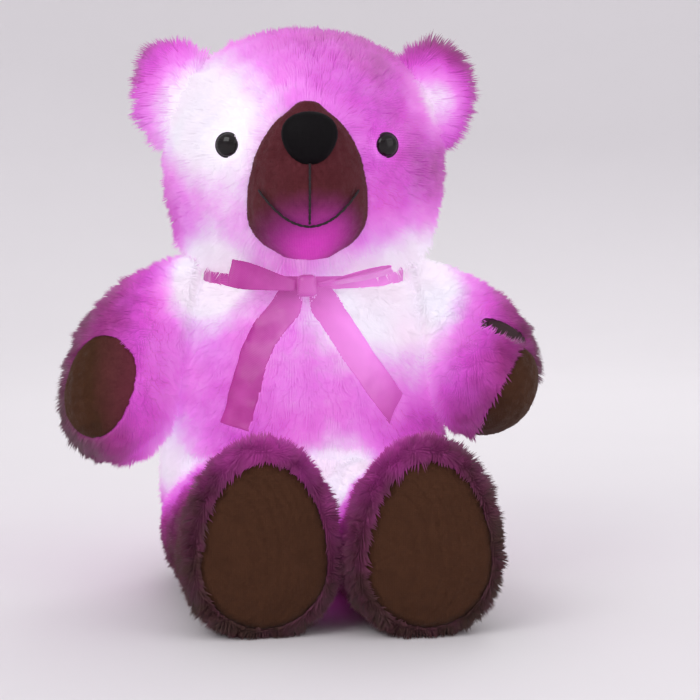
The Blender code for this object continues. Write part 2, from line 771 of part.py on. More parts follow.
def arm_at(side, share):
    """Return the arm's middle line and its direction at a share of its length."""
    root, elbow, paw = arm_points(side)
    near = root.lerp(elbow, share)
    far = elbow.lerp(paw, share)
    return near.lerp(far, share), (far - near).normalized()


def arm_frame(side, share):
    """Return a frame on the arm's middle line that doesn't twist along it."""
    root, elbow, paw = arm_points(side)
    middle, along = arm_at(side, share)
    return axes_frame(middle, along, up=(elbow - root).cross(paw - elbow))


def arm_form(side, grow=0):
    rings = []
    radii = smooth_rows([(share,) for share in ARM_RADIUS_SHARES])
    for step in range(ARM_STEPS):
        frame = arm_frame(side, step / (ARM_STEPS - 1))
        radius = ARM_RADIUS * radii[step][0] + grow
        rings.append(round_ring(frame, radius, 0, LIMB_SEGMENTS))
    for step in range(1, END_RING_COUNT + 2):
        turn = step / (END_RING_COUNT + 1.5) * math.pi / 2
        reach = radius * math.sin(turn)
        rings.append(round_ring(frame, radius * math.cos(turn), reach, LIMB_SEGMENTS))
    return lofted(rings)


def make_arm(side):
    arm = add_object(f"arm_{side}", arm_form(side), "plush", f"arm_{side}")
    normal = shoulder_normal(side)
    place = PLACES[f"arm_{side}"] + normal * GAP
    combine(arm, half_space(f"arm_root_cut_{side}", place, -normal))
    return arm


def make_paw_pad(side):
    joint = f"arm_{side}"
    pad = add_object(f"paw_pad_{side}", arm_form(side, PAW_PAD_THICKNESS), "velboa", joint)
    middle, along = arm_at(side, PAW_PAD_ALONG_SHARE)
    frame = axes_frame(middle, PAW_PAD_FACING[side])
    outline = turned(frame, [(1, 0), (1, 2 * ARM_RADIUS)], LIMB_SEGMENTS)
    stretch = Matrix.Diagonal((PAW_PAD_HALF_WIDTH, PAW_PAD_HALF_HEIGHT, 1, 1))
    bmesh.ops.transform(outline, matrix=frame @ stretch @ frame.inverted(), verts=outline.verts)
    combine(pad, add_guide(f"paw_pad_outline_{side}", outline, joint), "INTERSECT")
    combine(pad, add_guide(f"paw_envelope_{side}", arm_form(side, GAP), joint))


# Legs

def hip_place(side):
    return Vector((SIDES[side] * HIP_SPREAD, -HIP_SETBACK, HIP_RISE))


def leg_direction(side):
    turn = LEG_SPLAY[side]
    return Vector((math.sin(turn), -math.cos(turn), 0))


def leg_ring(side, along, half_width, down, up):
    """Return one ring across a leg, reaching further up than down."""
    forward = leg_direction(side)
    aside = forward.cross(Vector((0, 0, 1)))
    middle = hip_place(side) + forward * along
    ring = []
    for index in range(LIMB_SEGMENTS):
        turn = 2 * math.pi * index / LIMB_SEGMENTS
        reach = up if math.sin(turn) > 0 else down
        ring.append(middle + aside * half_width * math.cos(turn)
                    + Vector((0, 0, reach * math.sin(turn))))
    return ring


def leg_form(side, grow=0):
    rings = []
    for step in range(END_RING_COUNT + 1, 0, -1):
        turn = step / (END_RING_COUNT + 1.5) * math.pi / 2
        radius = (HIP_RADIUS + grow) * math.cos(turn)
        back = -(HIP_RADIUS + grow) * math.sin(turn)
        rings.append(leg_ring(side, back, radius, radius, radius))
    for along, wide, down, up in smooth_rows(LEG_SHARES):
        rings.append(leg_ring(side, along * LEG_LENGTH, wide * SOLE_HALF_WIDTH + grow,
                              down * HIP_RADIUS + grow, up * SOLE_REACH_UP + grow))
    for out, size in SOLE_DOME_SHARES:
        rings.append(leg_ring(side, LEG_LENGTH + out * SOLE_BULGE + grow, size * SOLE_HALF_WIDTH,
                              size * HIP_RADIUS, size * SOLE_REACH_UP))
    return lofted(rings)


def make_leg(side, floor):
    leg = add_object(f"leg_{side}", leg_form(side), "plush", f"leg_{side}")
    combine(leg, floor)


def make_sole_pad(side):
    joint = f"leg_{side}"
    pad = add_object(f"sole_pad_{side}", leg_form(side, SOLE_PAD_THICKNESS), "velboa", joint)
    size = (SOLE_HALF_WIDTH, HIP_RADIUS, SOLE_REACH_UP)
    width, down, up = (SOLE_PAD_SHARE * length for length in size)
    outline = lofted([leg_ring(side, LEG_LENGTH - SOLE_PAD_WRAP, width, down, up),
                      leg_ring(side, LEG_LENGTH + SOLE_BULGE + OVERRUN, width, down, up)])
    combine(pad, add_guide(f"sole_pad_outline_{side}", outline, joint), "INTERSECT")
    combine(pad, add_guide(f"sole_envelope_{side}", leg_form(side, GAP), joint))


# Ribbon

def make_band():
    rings = []
    for index in range(FORM_SEGMENTS + 8):
        turn = 2 * math.pi * index / (FORM_SEGMENTS + 8)
        depth = BAND_BACK if math.sin(turn) > 0 else BAND_FRONT
        outward = Vector((BAND_HALF_WIDTH * math.cos(turn), depth * math.sin(turn), 0))
        lift = (math.sin(turn) + 1) / 2
        middle = outward + Vector((0, 0, mix(BAND_RISE_FRONT, BAND_RISE_BACK, lift)))
        outside = outward.normalized() * BAND_THICKNESS
        half = Vector((0, 0, BAND_HEIGHT / 2))
        rings.append([middle - half, middle + outside - half, middle + outside + half, middle + half])
    add_object("ribbon_band", lofted(rings, closed=True), "satin")


def knot_middle():
    y = -BAND_FRONT - BAND_THICKNESS - GAP - KNOT_DEPTH / 2
    return Vector((0, y, KNOT_RISE))


def make_knot():
    half = Vector((KNOT_WIDTH, KNOT_DEPTH, KNOT_HEIGHT)) / 2
    knot = add_object("ribbon_knot", boxed(knot_middle() - half, knot_middle() + half), "satin")
    bevel_edges(knot, KNOT_ROUNDING)


def make_bow_loop(side):
    """Lay a ribbon out from the knot and back to it, as a flattened loop."""
    length, bulge, height, across, along = LOOP_SIZES[side]
    along = Vector(along).normalized()
    across = Vector(across).normalized()
    across = (across - along * across.dot(along)).normalized()
    outward = along.cross(across).normalized()
    clear = KNOT_WIDTH / 2 + GAP + abs(across.x) * LOOP_ROOT_HEIGHT / 2
    root = knot_middle() + Vector((SIDES[side] * clear, 0, 0))
    rings = []
    for index in range(LOOP_POINTS):
        turn = 2 * math.pi * (index + 0.5) / LOOP_POINTS
        reach = (1 - math.cos(turn)) / 2
        spread = mix(LOOP_ROOT_HALF_GAP, bulge, reach) * math.sin(turn)
        half = mix(LOOP_ROOT_HEIGHT, height, min(1, reach * LOOP_OPENING)) / 2
        middle = root + along * reach * length + outward * spread
        inside = along * math.cos(turn) * RIBBON_THICKNESS - outward * math.sin(turn) * RIBBON_THICKNESS
        inside = inside.normalized() * RIBBON_THICKNESS
        rings.append([middle - across * half, middle + inside - across * half,
                      middle + inside + across * half, middle + across * half])
    add_object(f"bow_loop_{side}", lofted(rings, closed=True), "satin")


def make_bow_tail(side):
    """Hang a ribbon from under the knot down the curve of the chest."""
    line = smooth_path([(x, 0, z) for x, z in TAIL_PLACES[side]], TAIL_ROWS)
    knot_back = knot_middle().y + KNOT_DEPTH / 2
    last = len(line) - 1
    rings = []
    for row, middle in enumerate(line):
        share = row / last
        along = (line[min(row + 1, last)] - line[max(row - 1, 0)]).normalized()
        aside = along.cross(Vector((0, 1, 0)))
        spread = math.sin(min(1, share / TAIL_FULL_WIDTH_SHARE) * math.pi / 2)
        half = mix(TAIL_ROOT_HALF_WIDTH, RIBBON_WIDTH / 2, spread)
        back = []
        front = []
        for across in TAIL_ACROSS_SHARES:
            cut = share ** TAIL_CUT_POWER * TAIL_SLANTS[side] * across / 2
            place = middle + aside * half * across + along * cut
            place.y = torso_front(place.x, place.z) - TAIL_CLEARANCE
            place.y = min(place.y, mix(knot_back, place.y, min(1, 2 * share)))
            back.append(place)
            front.append(place - Vector((0, RIBBON_THICKNESS, 0)))
        rings.append(back + front[::-1])
    add_object(f"bow_tail_{side}", lofted(rings), "satin")


# Back flap and battery case

def make_flap():
    low = (-FLAP_HALF_WIDTH, FLAP_HINGE_DEPTH, FLAP_BOTTOM)
    high = (FLAP_HALF_WIDTH, FLAP_HINGE_DEPTH + FLAP_THICKNESS, FLAP_TOP)
    flap = add_object("back_flap", boxed(low, high), "plush", "flap_hinge")
    bevel_edges(flap, FLAP_ROUNDING)
    half = STRIP_WIDTH / 2 + GAP
    floor = strip_floor()
    recess = boxed((-half, FLAP_SEAT - OVERRUN, floor - GAP),
                   (half, FLAP_HINGE_DEPTH + STRIP_THICKNESS + GAP, floor + STRIP_HEIGHT + GAP))
    combine(flap, add_guide("hook_strip_cut", recess, "flap_hinge"))
    half = STRIP_WIDTH / 2
    hook = boxed((-half, FLAP_HINGE_DEPTH, floor),
                 (half, FLAP_HINGE_DEPTH + STRIP_THICKNESS, floor + STRIP_HEIGHT))
    add_object("hook_strip", hook, "hook_cloth", "flap_hinge")
    loop = boxed((-half, FLAP_SEAT - STRIP_THICKNESS, floor), (half, FLAP_SEAT, floor + STRIP_HEIGHT))
    add_object("loop_strip", loop, "hook_cloth")


def make_case():
    low = Vector((-CASE_HALF_WIDTH, CASE_BACK, CASE_FLOOR))
    high = Vector((CASE_HALF_WIDTH, CASE_FRONT, CASE_FLOOR + CASE_LENGTH))
    case = add_object("battery_case", boxed(low, high), "case_plastic")
    wall = Vector((CASE_WALL, CASE_WALL, CASE_WALL))
    inside_high = high - wall
    inside_high.y = CASE_FRONT + OVERRUN
    combine(case, add_guide("case_inside", boxed(low + wall, inside_high)))


def make_cover():
    low = Vector((-CASE_HALF_WIDTH, CASE_FRONT + GAP, CASE_FLOOR))
    high = Vector((CASE_HALF_WIDTH, CASE_FRONT + GAP + COVER_THICKNESS, CASE_FLOOR + CASE_LENGTH))
    cover = add_object("battery_cover", boxed(low, high), "case_plastic", "cover_slide")
    for number in range(COVER_RIBS):
        floor = CASE_FLOOR + COVER_RIB_PITCH * (number + 1)
        rib = boxed((-COVER_RIB_WIDTH / 2, high.y - COVER_GRIP, floor),
                    (COVER_RIB_WIDTH / 2, high.y + COVER_GRIP, floor + COVER_RIB_HEIGHT))
        combine(cover, add_guide(f"cover_rib_{number}", rib, "cover_slide"), "UNION")


def cell_middle(number):
    x = (number - (CELL_COUNT - 1) / 2) * CELL_PITCH
    return Vector((x, CASE_BACK + CASE_WALL + GAP + CELL_RADIUS, 0))


def cell_points_up(number):
    return number % 2 == 0


def make_cells():
    inside = CASE_FLOOR + CASE_WALL
    for number in range(CELL_COUNT):
        up = cell_points_up(number)
        lift = SPRING_HEIGHT if up else 0
        base = inside + GAP + CONTACT_THICKNESS + GAP / 2 + lift
        origin = cell_middle(number) + Vector((0, 0, base))
        frame = axes_frame(origin, (0, 0, 1), up=(0, 1, 0))
        if not up:
            origin.z += CELL_LENGTH
            frame = axes_frame(origin, (0, 0, -1), up=(0, 1, 0))
        shoulder = CELL_LENGTH - CELL_NIPPLE
        profile = [(CELL_RADIUS, 0), (CELL_RADIUS, shoulder), (CELL_NIPPLE_RADIUS, shoulder),
                   (CELL_NIPPLE_RADIUS, CELL_LENGTH)]
        add_object(f"cell_{number + 1}", turned(frame, profile), "cell_jacket")


def make_contact(name, cells, top):
    """Make a contact plate over some cells, with a spring at each flat cell end."""
    inside = CASE_FLOOR + CASE_WALL
    back = CASE_BACK + CASE_WALL + GAP
    base = inside + CASE_INNER_LENGTH - GAP - CONTACT_THICKNESS if top else inside + GAP
    middles = [cell_middle(number) for number in cells]
    low = (min(m.x for m in middles) - CONTACT_WIDTH / 2, back, base)
    high = (max(m.x for m in middles) + CONTACT_WIDTH / 2,
            back + CELL_RADIUS + CONTACT_HEIGHT / 2, base + CONTACT_THICKNESS)
    plate = add_object(name, boxed(low, high), "contact_metal")
    for number, middle in zip(cells, middles):
        if cell_points_up(number) == top:
            continue
        way = -1 if top else 1
        foot = Vector((middle.x, middle.y, base + CONTACT_THICKNESS / 2))
        frame = axes_frame(foot, (0, 0, way), up=(0, 1, 0))
        reach = SPRING_HEIGHT + CONTACT_THICKNESS / 2 - GAP / 2
        cone = turned(frame, [(SPRING_FOOT_RADIUS, 0), (SPRING_TIP_RADIUS, reach)])
        combine(plate, add_guide(f"{name}_spring_{number}", cone), "UNION")


# Lamps and wires

def case_exit(across_share, up_share):
    """Return a place on the pocket's inner wall, behind the battery case."""
    across = across_share * (CASE_HALF_WIDTH + GAP)
    return Vector((across, POCKET_BACK, CASE_FLOOR + up_share * CASE_LENGTH))


def make_wire(name, points, radius, host, joint="rest", open_start=0, open_end=0):
    """Lay a wire in its own channel, which runs on past an open end."""
    path = [Vector(points[0])] + smooth_path(points[1:], WIRE_POINTS)
    if open_end:
        path = [Vector(points[0])] + smooth_path(points[1:-1], WIRE_POINTS) + [Vector(points[-1])]
    add_object(name, tube(path, radius), "wire_cover", joint)
    start = path[0] + (path[0] - path[1]).normalized() * (open_start or GAP)
    end = path[-1] + (path[-1] - path[-2]).normalized() * (open_end or GAP)
    channel = tube([start] + path[1:-1] + [end], radius + WIRE_CLEARANCE)
    combine(host, add_guide(f"{name}_channel", channel, joint))
    return path


def make_lamp(name, path, host, joint="rest"):
    """Put a lamp on the end of a wire, in a chamber of its own."""
    along = (path[-1] - path[-2]).normalized()
    frame = axes_frame(path[-1] + along * GAP, along, up=LAMP_UP)
    body = LAMP_LENGTH - LAMP_RADIUS
    lens = [(LAMP_RADIUS, 0), (LAMP_RADIUS, body)]
    hole = LAMP_RADIUS + WIRE_CLEARANCE
    chamber = [(hole, -2 * GAP), (hole, body)]
    for step in range(1, END_RING_COUNT + 1):
        turn = step / (END_RING_COUNT + 0.5) * math.pi / 2
        lens.append((LAMP_RADIUS * math.cos(turn), body + LAMP_RADIUS * math.sin(turn)))
        chamber.append((hole * math.cos(turn), body + hole * math.sin(turn)))
    add_object(name, turned(frame, lens), "lamp_lens", joint)
    combine(host, add_guide(f"{name}_chamber", turned(frame, chamber), joint))


def make_torso_lamps(torso):
    for name, ((across, up), way, place) in TORSO_LAMP_PLACES.items():
        start = case_exit(across, up)
        out = start - Vector((0, WIRE_EXIT, 0))
        path = make_wire(f"wire_{name}", [start, out, way, place], WIRE_RADIUS, torso,
                         open_start=OVERRUN)
        make_lamp(f"lamp_{name}", path, torso)


def make_head_lamps(torso, head):
    start = case_exit(*NECK_EXIT_SHARES)
    neck = Vector((0, 0, TORSO_HEIGHT - GAP / 2))
    below = neck - Vector((0, 0, HEAD_WIRE_RISE))
    make_wire("wire_neck", [start, start - Vector((0, WIRE_EXIT, 0)), below, neck], TRUNK_RADIUS,
              torso, open_start=OVERRUN, open_end=OVERRUN)
    for side, sign in SIDES.items():
        root = Vector((sign * HEAD_WIRE_OFFSET, 0, HEAD_BASE + GAP / 2))
        way = Vector(HEAD_LAMP_WAY)
        place = Vector(HEAD_LAMP_PLACE)
        way.x *= sign
        place.x *= sign
        points = [root, root + Vector((0, 0, HEAD_WIRE_RISE / 3)), way, place]
        path = make_wire(f"wire_head_{side}", points, WIRE_RADIUS, head, "head_turn",
                         open_start=OVERRUN)
        make_lamp(f"lamp_head_{side}", path, head, "head_turn")


def make_arm_feed(torso, arm):
    """Bring the button's wires through the left shoulder, split on its axis."""
    normal = shoulder_normal("left")
    joint = PLACES["arm_left"]
    start = case_exit(*ARM_FEED_EXIT_SHARES)
    out = start - Vector((0, WIRE_EXIT, 0))
    inside = joint - normal * GAP / 2
    make_wire("wire_shoulder_feed", [start, out, ARM_FEED_WAY, inside - normal * WIRE_EXIT, inside],
              WIRE_RADIUS, torso, open_start=OVERRUN, open_end=OVERRUN)
    frame = button_frame()
    floor = frame @ Vector((0, 0, -HOUSING_DEPTH - GAP))
    lead = frame @ Vector((0, 0, -HOUSING_DEPTH - WIRE_EXIT))
    outside = joint + normal * GAP * 1.5
    make_wire("wire_arm", [outside, outside + normal * WIRE_EXIT, lead, floor], WIRE_RADIUS, arm,
              "arm_left", open_start=OVERRUN, open_end=OVERRUN)


# Press button

def button_frame():
    """Return a frame on the left paw's back, with Z out of the button and X across the arm."""
    middle, along = arm_at("left", BUTTON_ALONG_SHARE)
    outward = Vector(BUTTON_FACING)
    outward = (outward - along * outward.dot(along)).normalized()
    top = middle + outward * (ARM_RADIUS - BUTTON_SINK)
    return axes_frame(top, outward, up=along)


def make_button(arm):
    frame = button_frame() @ Matrix.Diagonal((BUTTON_OVAL_SHARE, 1, 1, 1))
    joint = "arm_left"
    hole = HOUSING_RADIUS + GAP
    cutter = turned(frame, [(hole, -HOUSING_DEPTH - GAP), (hole, 2 * OVERRUN)], ROUND_SEGMENTS)
    combine(arm, add_guide("button_cut", cutter, joint))
    inner = HOUSING_RADIUS - HOUSING_WALL
    mouth = inner - LIP_WIDTH
    floor = HOUSING_WALL - HOUSING_DEPTH
    housing = [(HOUSING_RADIUS, -HOUSING_DEPTH), (HOUSING_RADIUS, 0), (mouth, 0),
               (mouth, -HOUSING_WALL), (inner, -HOUSING_WALL), (inner, floor)]
    add_object("button_housing", turned(frame, housing, ROUND_SEGMENTS), "case_plastic", joint)
    disc = inner - GAP
    board = [(disc, floor + GAP), (disc, floor + GAP + BOARD_THICKNESS)]
    add_object("controller_board", turned(frame, board, ROUND_SEGMENTS), "board", joint)
    flange_top = -HOUSING_WALL - GAP
    flange_low = flange_top - PLUNGER_FLANGE
    stem = mouth - GAP
    plunger = [(disc, flange_low), (disc, flange_top), (stem, flange_top), (stem, -HOUSING_WALL / 2)]
    add_object("plunger", turned(frame, plunger, ROUND_SEGMENTS), "case_plastic", "button_press")
    patch = [(stem, -HOUSING_WALL / 2 + GAP), (stem, PATCH_PROUD * PATCH_ROUNDING_SHARE),
             (stem * (1 - PATCH_ROUNDING_SHARE / 2), PATCH_PROUD * (1 - PATCH_ROUNDING_SHARE / 2)),
             (stem * PATCH_ROUNDING_SHARE, PATCH_PROUD)]
    add_object("press_patch", turned(frame, patch, ROUND_SEGMENTS), "patch_cloth", "button_press")
    low = floor + 2 * GAP + BOARD_THICKNESS
    high = flange_low - GAP
    core = BUTTON_SPRING_RADIUS - BUTTON_SPRING_WALL
    spring = [(core, low), (BUTTON_SPRING_RADIUS, low), (BUTTON_SPRING_RADIUS, high), (core, high)]
    add_object("button_spring", turned(button_frame(), spring, closed=True), "contact_metal", joint)


def make_bear():
    reach = 2 * TORSO_HEIGHT
    floor = add_guide("floor_cut", boxed((-reach, -reach, -reach), (reach, reach, 0)))
    torso = make_torso()
    head = make_head()
    envelope = head_envelope()
    make_muzzle(envelope)
    snout = muzzle_envelope()
    make_nose(snout)
    make_stitches()
    for side in SIDES:
        make_ear(side, envelope)
        make_eye(side)
        arm = make_arm(side)
        if side == "left":
            make_arm_feed(torso, arm)
            make_button(arm)
        make_paw_pad(side)
        make_leg(side, floor)
        make_sole_pad(side)
        make_bow_loop(side)
        make_bow_tail(side)
    make_band()
    make_knot()
    make_flap()
    make_case()
    make_cover()
    make_cells()
    make_contact("contact_positive", (0,), True)
    make_contact("contact_bridge_top", (1, 2), True)
    make_contact("contact_bridge_bottom", (0, 1), False)
    make_contact("contact_negative", (2,), False)
    make_torso_lamps(torso)
    make_head_lamps(torso, head)


for old in list(bpy.data.objects):
    bpy.data.objects.remove(old)
MATERIALS = make_materials()
PIVOTS, PLACES = make_pivots()
make_bear()
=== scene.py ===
"""Looks of a sitting plush bear night light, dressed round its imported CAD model."""
import json
import math
import random

import bmesh
import bpy
from mathutils import Matrix, Vector, noise
from mathutils.bvhtree import BVHTree


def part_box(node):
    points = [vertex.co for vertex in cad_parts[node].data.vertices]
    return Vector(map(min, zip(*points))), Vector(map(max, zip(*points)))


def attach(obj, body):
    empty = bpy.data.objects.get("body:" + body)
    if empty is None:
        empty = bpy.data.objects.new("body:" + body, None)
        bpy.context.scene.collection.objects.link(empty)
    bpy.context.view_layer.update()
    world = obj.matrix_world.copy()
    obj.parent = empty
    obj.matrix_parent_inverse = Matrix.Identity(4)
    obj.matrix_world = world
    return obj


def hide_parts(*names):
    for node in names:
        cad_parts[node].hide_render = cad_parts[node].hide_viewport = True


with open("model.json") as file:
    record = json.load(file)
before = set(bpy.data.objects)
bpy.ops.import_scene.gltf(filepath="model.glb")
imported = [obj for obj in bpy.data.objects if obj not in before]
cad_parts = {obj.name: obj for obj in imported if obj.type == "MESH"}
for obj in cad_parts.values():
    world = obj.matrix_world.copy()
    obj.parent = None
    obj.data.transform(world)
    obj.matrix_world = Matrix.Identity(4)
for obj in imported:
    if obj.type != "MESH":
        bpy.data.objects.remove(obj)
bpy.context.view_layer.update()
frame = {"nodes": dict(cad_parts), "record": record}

# What the record and the CAD nodes say
RECORD = frame["record"]
SLOT_OF = {entry["node"]: entry["material_slot"] for entry in RECORD["subparts"]}
BODY_OF = {node: body for body, nodes in RECORD["behaviour"]["bodies"].items() for node in nodes}
FOOT_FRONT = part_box("leg_left")[0].y
FLAP_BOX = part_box("back_flap")
SIDES = {"left": 1, "right": -1}
TAIL_SIDES = {"bow_tail_left": 1, "bow_tail_right": -1}
NODE_FINISHES = {"button_housing": "dark_plastic"}

# Photograph
IMAGE_SIDE = 700
CAMERA_AIM = Vector((0, 0, 0.180))
CAMERA_DISTANCE = 1.40
CAMERA_AZIMUTH = math.radians(-2)
CAMERA_RISE = math.radians(4)
FOCAL_PIXELS = 1979.5
SENSOR_WIDTH = 36
AIM_PIXEL = (303.7, 326.3)

# Studio
FLOOR_RADIUS = 1.7
WALL_HEIGHT = 2.0
SWEEP_RADIUS = 1.6
SWEEP_STEPS = 16
FLOOR_STEPS = 96
FLOOR_COLOUR = (0.80, 0.78, 0.80)
FLOOR_ROUGHNESS = 0.8
FLOOR_MOTTLE = 0.25
FLOOR_SHADE = 0.97
WORLD_COLOUR = (0.94, 0.92, 0.95, 1)
WORLD_STRENGTH = 0.86
LIGHTS = {
    # place, size, power
    "key": ((-1.2, -1.7, 1.7), 1.3, 16),
    "fill": ((1.7, -1.5, 1.0), 1.6, 7),
    "back": ((0.5, 1.6, 1.6), 1.4, 10),
}

# Fur
FUR_STEP = 0.0016
EAR_STEP = 0.0015
FLAP_STEP = 0.0009
FUR_LENGTH = 0.0085
RIM_LENGTH = 0.0110
RIM_DEPTH = 0.045
EAR_LENGTH = 0.0120
JAW_LENGTH = 0.0200
JAW_TOP = 0.258
JAW_DEPTH = 0.022
FLAP_LENGTH = 0.0060
FUR_LIFT = 0.56
EAR_LIFT = 0.62
LEG_LIFT = 0.50
FUR_SPREAD = 0.45
TUFT_SHARES = (0.75, 1.05)
LOCK_SIZE = 0.0062
LOCK_PULL = 0.32
LOCK_WAVE = 0.80
COVER_REACH = 1.2
PRESSED_SHARE = 0.72
FIRST_SEED = 2
NOISE_SEED = 11
SKIN_SINK = 0.0004
LINING_LENGTH = 0.0003
LINING_MARGIN = 0.0010
SMOOTHINGS = 4
SMOOTH_FACTOR = 0.5
MERGE_DISTANCE = 0.00002

# Ways the fur is combed
SNOUT_ROOT = Vector((0, -0.10, 0.285))
SNOUT_PULL = 0.8
HEAD_FALL = Vector((0, 0.3, -0.45))
LIMB_FALL = Vector((0, 0, -0.5))
LEG_WAY = Vector((0, -1, -0.12))
SHOULDER_ROOT = (0.06, 0, 0.21)
EAR_ROOT = (0.060, 0.0, 0.320)

# Short pile
PILE_STEP = 0.0011
PILE_LENGTH = 0.0010
PILE_LIFT = 0.6
PILE_LOCK = 0.002
PATCH_STEP = 0.0007
PATCH_PILE = 0.0002
PATCH_LIFT = 0.8
PATCH_LOCK = 0.001
PATCH_SMOOTHINGS = 3
PATCH_SEED = 5
NOSE_SEED = 3
TAPE_STEP = 0.0005
TAPE_PILE = 0.0003
TAPE_LIFT = 0.9
TAPE_LOCK = 0.0006
TAPE_SMOOTHINGS = 1

# Sewn thread
THREAD_STEP = 0.00040
THREAD_SMOOTHINGS = 2
STITCH_LENGTH = 0.0042
STITCH_PINCH = 0.00040
STITCH_POWER = 3
CREASE_WIDTH = 0.0022
CREASE_DEPTH = 0.0009
LIP_RISE = 0.0004
LIP_DROP = 0.0014

# Snout and nose
END_DEPTH = 0.012
BROW_BULGE = 0.0030
BROW_WIDTH = 0.013
CHIN_BULGE = 0.0024
CHIN_WIDTH = 0.022
NOSE_DROP = 0.0030

# Eyes
EYE_TURN = math.radians(18)
EYE_RADIUS = 0.0088
EYE_DOME = 0.0048
EYE_BEAD = 0.0010
BEAD_STEPS = 4
DOME_SEAT_SHARE = 0.8
EYE_STEPS = 48
DOME_POINTS = 9
SHANK_RADIUS = 0.0022
SHANK_LENGTH = 0.0178

# Ribbon
RIBBON_STEP = 0.00040
RIBBON_WIDTH = 0.020
RIBBON_SMOOTHINGS = 8
CREASE_SIZE = 0.012
CREASE_SWAY = 0.0011
ROOT_REACH = 0.014
ROOT_RISE = 0.0075
ROOT_SHIFT = 0.0030
ROOT_POWER = 1.5

# Fur kept short round the eyes and the press patch: inner and outer reach, least share of length
EYE_CLEAR = (0.0100, 0.0230, 0.10)
PATCH_CLEAR = (0.0095, 0.0180, 0.25)

# Glow: place, reach and strength of each lit part of the pile and the ribbon
FUR_GLOWS = (
    ((0.000, 0.000, 0.315), 0.100, 0.72),
    ((-0.050, -0.04, 0.270), 0.040, 0.22),
    ((0.000, 0.000, 0.150), 0.100, 0.78),
    ((-0.108, -0.030, 0.160), 0.050, 0.34),
    ((-0.124, -0.045, 0.126), 0.026, 0.22),
    ((-0.110, 0.000, 0.205), 0.034, 0.12),
    ((0.100, -0.040, 0.160), 0.046, 0.44),
    ((-0.074, -0.030, 0.330), 0.052, 0.80),
    ((0.092, -0.010, 0.338), 0.029, 0.64),
    ((-0.068, -0.030, 0.216), 0.028, 0.86),
    ((0.088, -0.020, 0.222), 0.042, 0.70),
    ((0.043, -0.060, 0.196), 0.034, 0.40),
    ((-0.088, -0.010, 0.082), 0.036, 0.90),
    ((0.022, -0.066, 0.068), 0.036, 1.10),
    ((-0.050, -0.170, 0.124), 0.030, 0.12),
    ((0.055, -0.170, 0.124), 0.030, 0.12),
)
SNOUT_GLOWS = (
    ((0.000, -0.110, 0.226), 0.028, 1.25),
    ((0.018, -0.110, 0.248), 0.016, 0.30),
)
RIBBON_GLOWS = (
    ((0.050, -0.070, 0.185), 0.055, 0.90),
)
DEPTH_SHARE = 0.55
# Pile colour by glow level, painted lamplight and painted shade: dark brown painted shade where
# no lamp reaches, magenta, then white near the lamps
PAINTED_FUR_LIGHT_COLOURS = (
    (0.00, (0.110, 0.046, 0.030)),
    (0.15, (0.210, 0.028, 0.110)),
    (0.32, (0.485, 0.045, 0.340)),
    (0.52, (0.760, 0.105, 0.690)),
    (0.72, (0.860, 0.270, 0.820)),
    (0.88, (0.900, 0.640, 0.920)),
    (1.00, (0.960, 0.920, 0.970)),
)
GLOW_STRENGTH = 0.66
GLOW_GAIN = 1.5
# Painted shade at the tuft roots: the share of the colour kept at a root
ROOT_SHADE = 0.70

# Grains (size, detail) and tones of the fur
FUR_ROUGHNESS = 0.92
FUR_SHEEN = 0.25
FUR_SHEEN_ROUGHNESS = 0.6
FUR_MOTTLE = (0.014, 3.0)
FUR_MOTTLE_GAIN = 0.24
STRAND_GRAIN = (0.0016, 2.0)
STRAND_GAIN = 0.30
STRAND_LEAST = 0.85
SHADE_GREEN = 0.96
TINT_GRAIN = (0.045, 1.0)
WARM_TINT = (1.0, 0.86, 0.93)
COOL_TINT = (0.88, 1.0, 1.0)

# Short pile: dark, pale and lit tones, and the glow from which the lit tone shows, with its gain
SNOUT_TONES = ((0.110, 0.016, 0.022), (0.170, 0.034, 0.046), (0.720, 0.060, 0.560))
SOLE_TONES = ((0.070, 0.025, 0.011), (0.105, 0.040, 0.018), (0.300, 0.030, 0.110))
SNOUT_LIT = (0.04, 1.1)
SOLE_LIT = (0.28, 1.2)
CLOTH_ROUGHNESS = 0.88
CLOTH_SHEEN = 0.08
CLOTH_SPECULAR = 0.20
CLOTH_MOTTLE = (0.013, 4.0)
CLOTH_MOTTLE_GAIN = 0.1
CLOTH_GRAIN = (0.0012, 2.0)
CLOTH_BUMP = 0.0003
# Painted shade at the roots of the short pile: the lift to the tips and the share kept at a root
CLOTH_TIP_GAIN = 0.25
CLOTH_ROOT_SHADE = 0.80
CLOTH_GLOW = 0.35

# Satin
SATIN_TONES = ((0.290, 0.012, 0.190), (0.440, 0.024, 0.290), (0.88, 0.30, 0.84))
SATIN_ROUGHNESS = 0.34
SATIN_ROUGHNESS_SPAN = 0.16
SATIN_SHEEN = 0.15
SATIN_MOTTLE = (0.016, 2.0)
SATIN_MOTTLE_GAIN = 0.2
SATIN_WEAVE = {"Scale": 420.0, "Distortion": 0.6, "Detail": 1.0}
SATIN_BUMP = 0.00012
SATIN_BUMP_STRENGTH = 0.35
SATIN_GLOW = 0.28

# Eyes' plastic
EYE_TONES = ((0.002, 0.001, 0.002), (0.008, 0.003, 0.004))
EYE_GRAIN = 0.004
EYE_ROUGHNESS = 0.06
EYE_ROUGHNESS_SPAN = 0.05
EYE_COAT = 0.25
EYE_SPECULAR = 0.22

# Lamp lens
LENS_TONES = ((0.95, 0.45, 0.85), (1.0, 0.70, 0.95))
LENS_ROUGHNESS = 0.25
LENS_GRAIN = 0.002
LENS_GLOW = 2.0

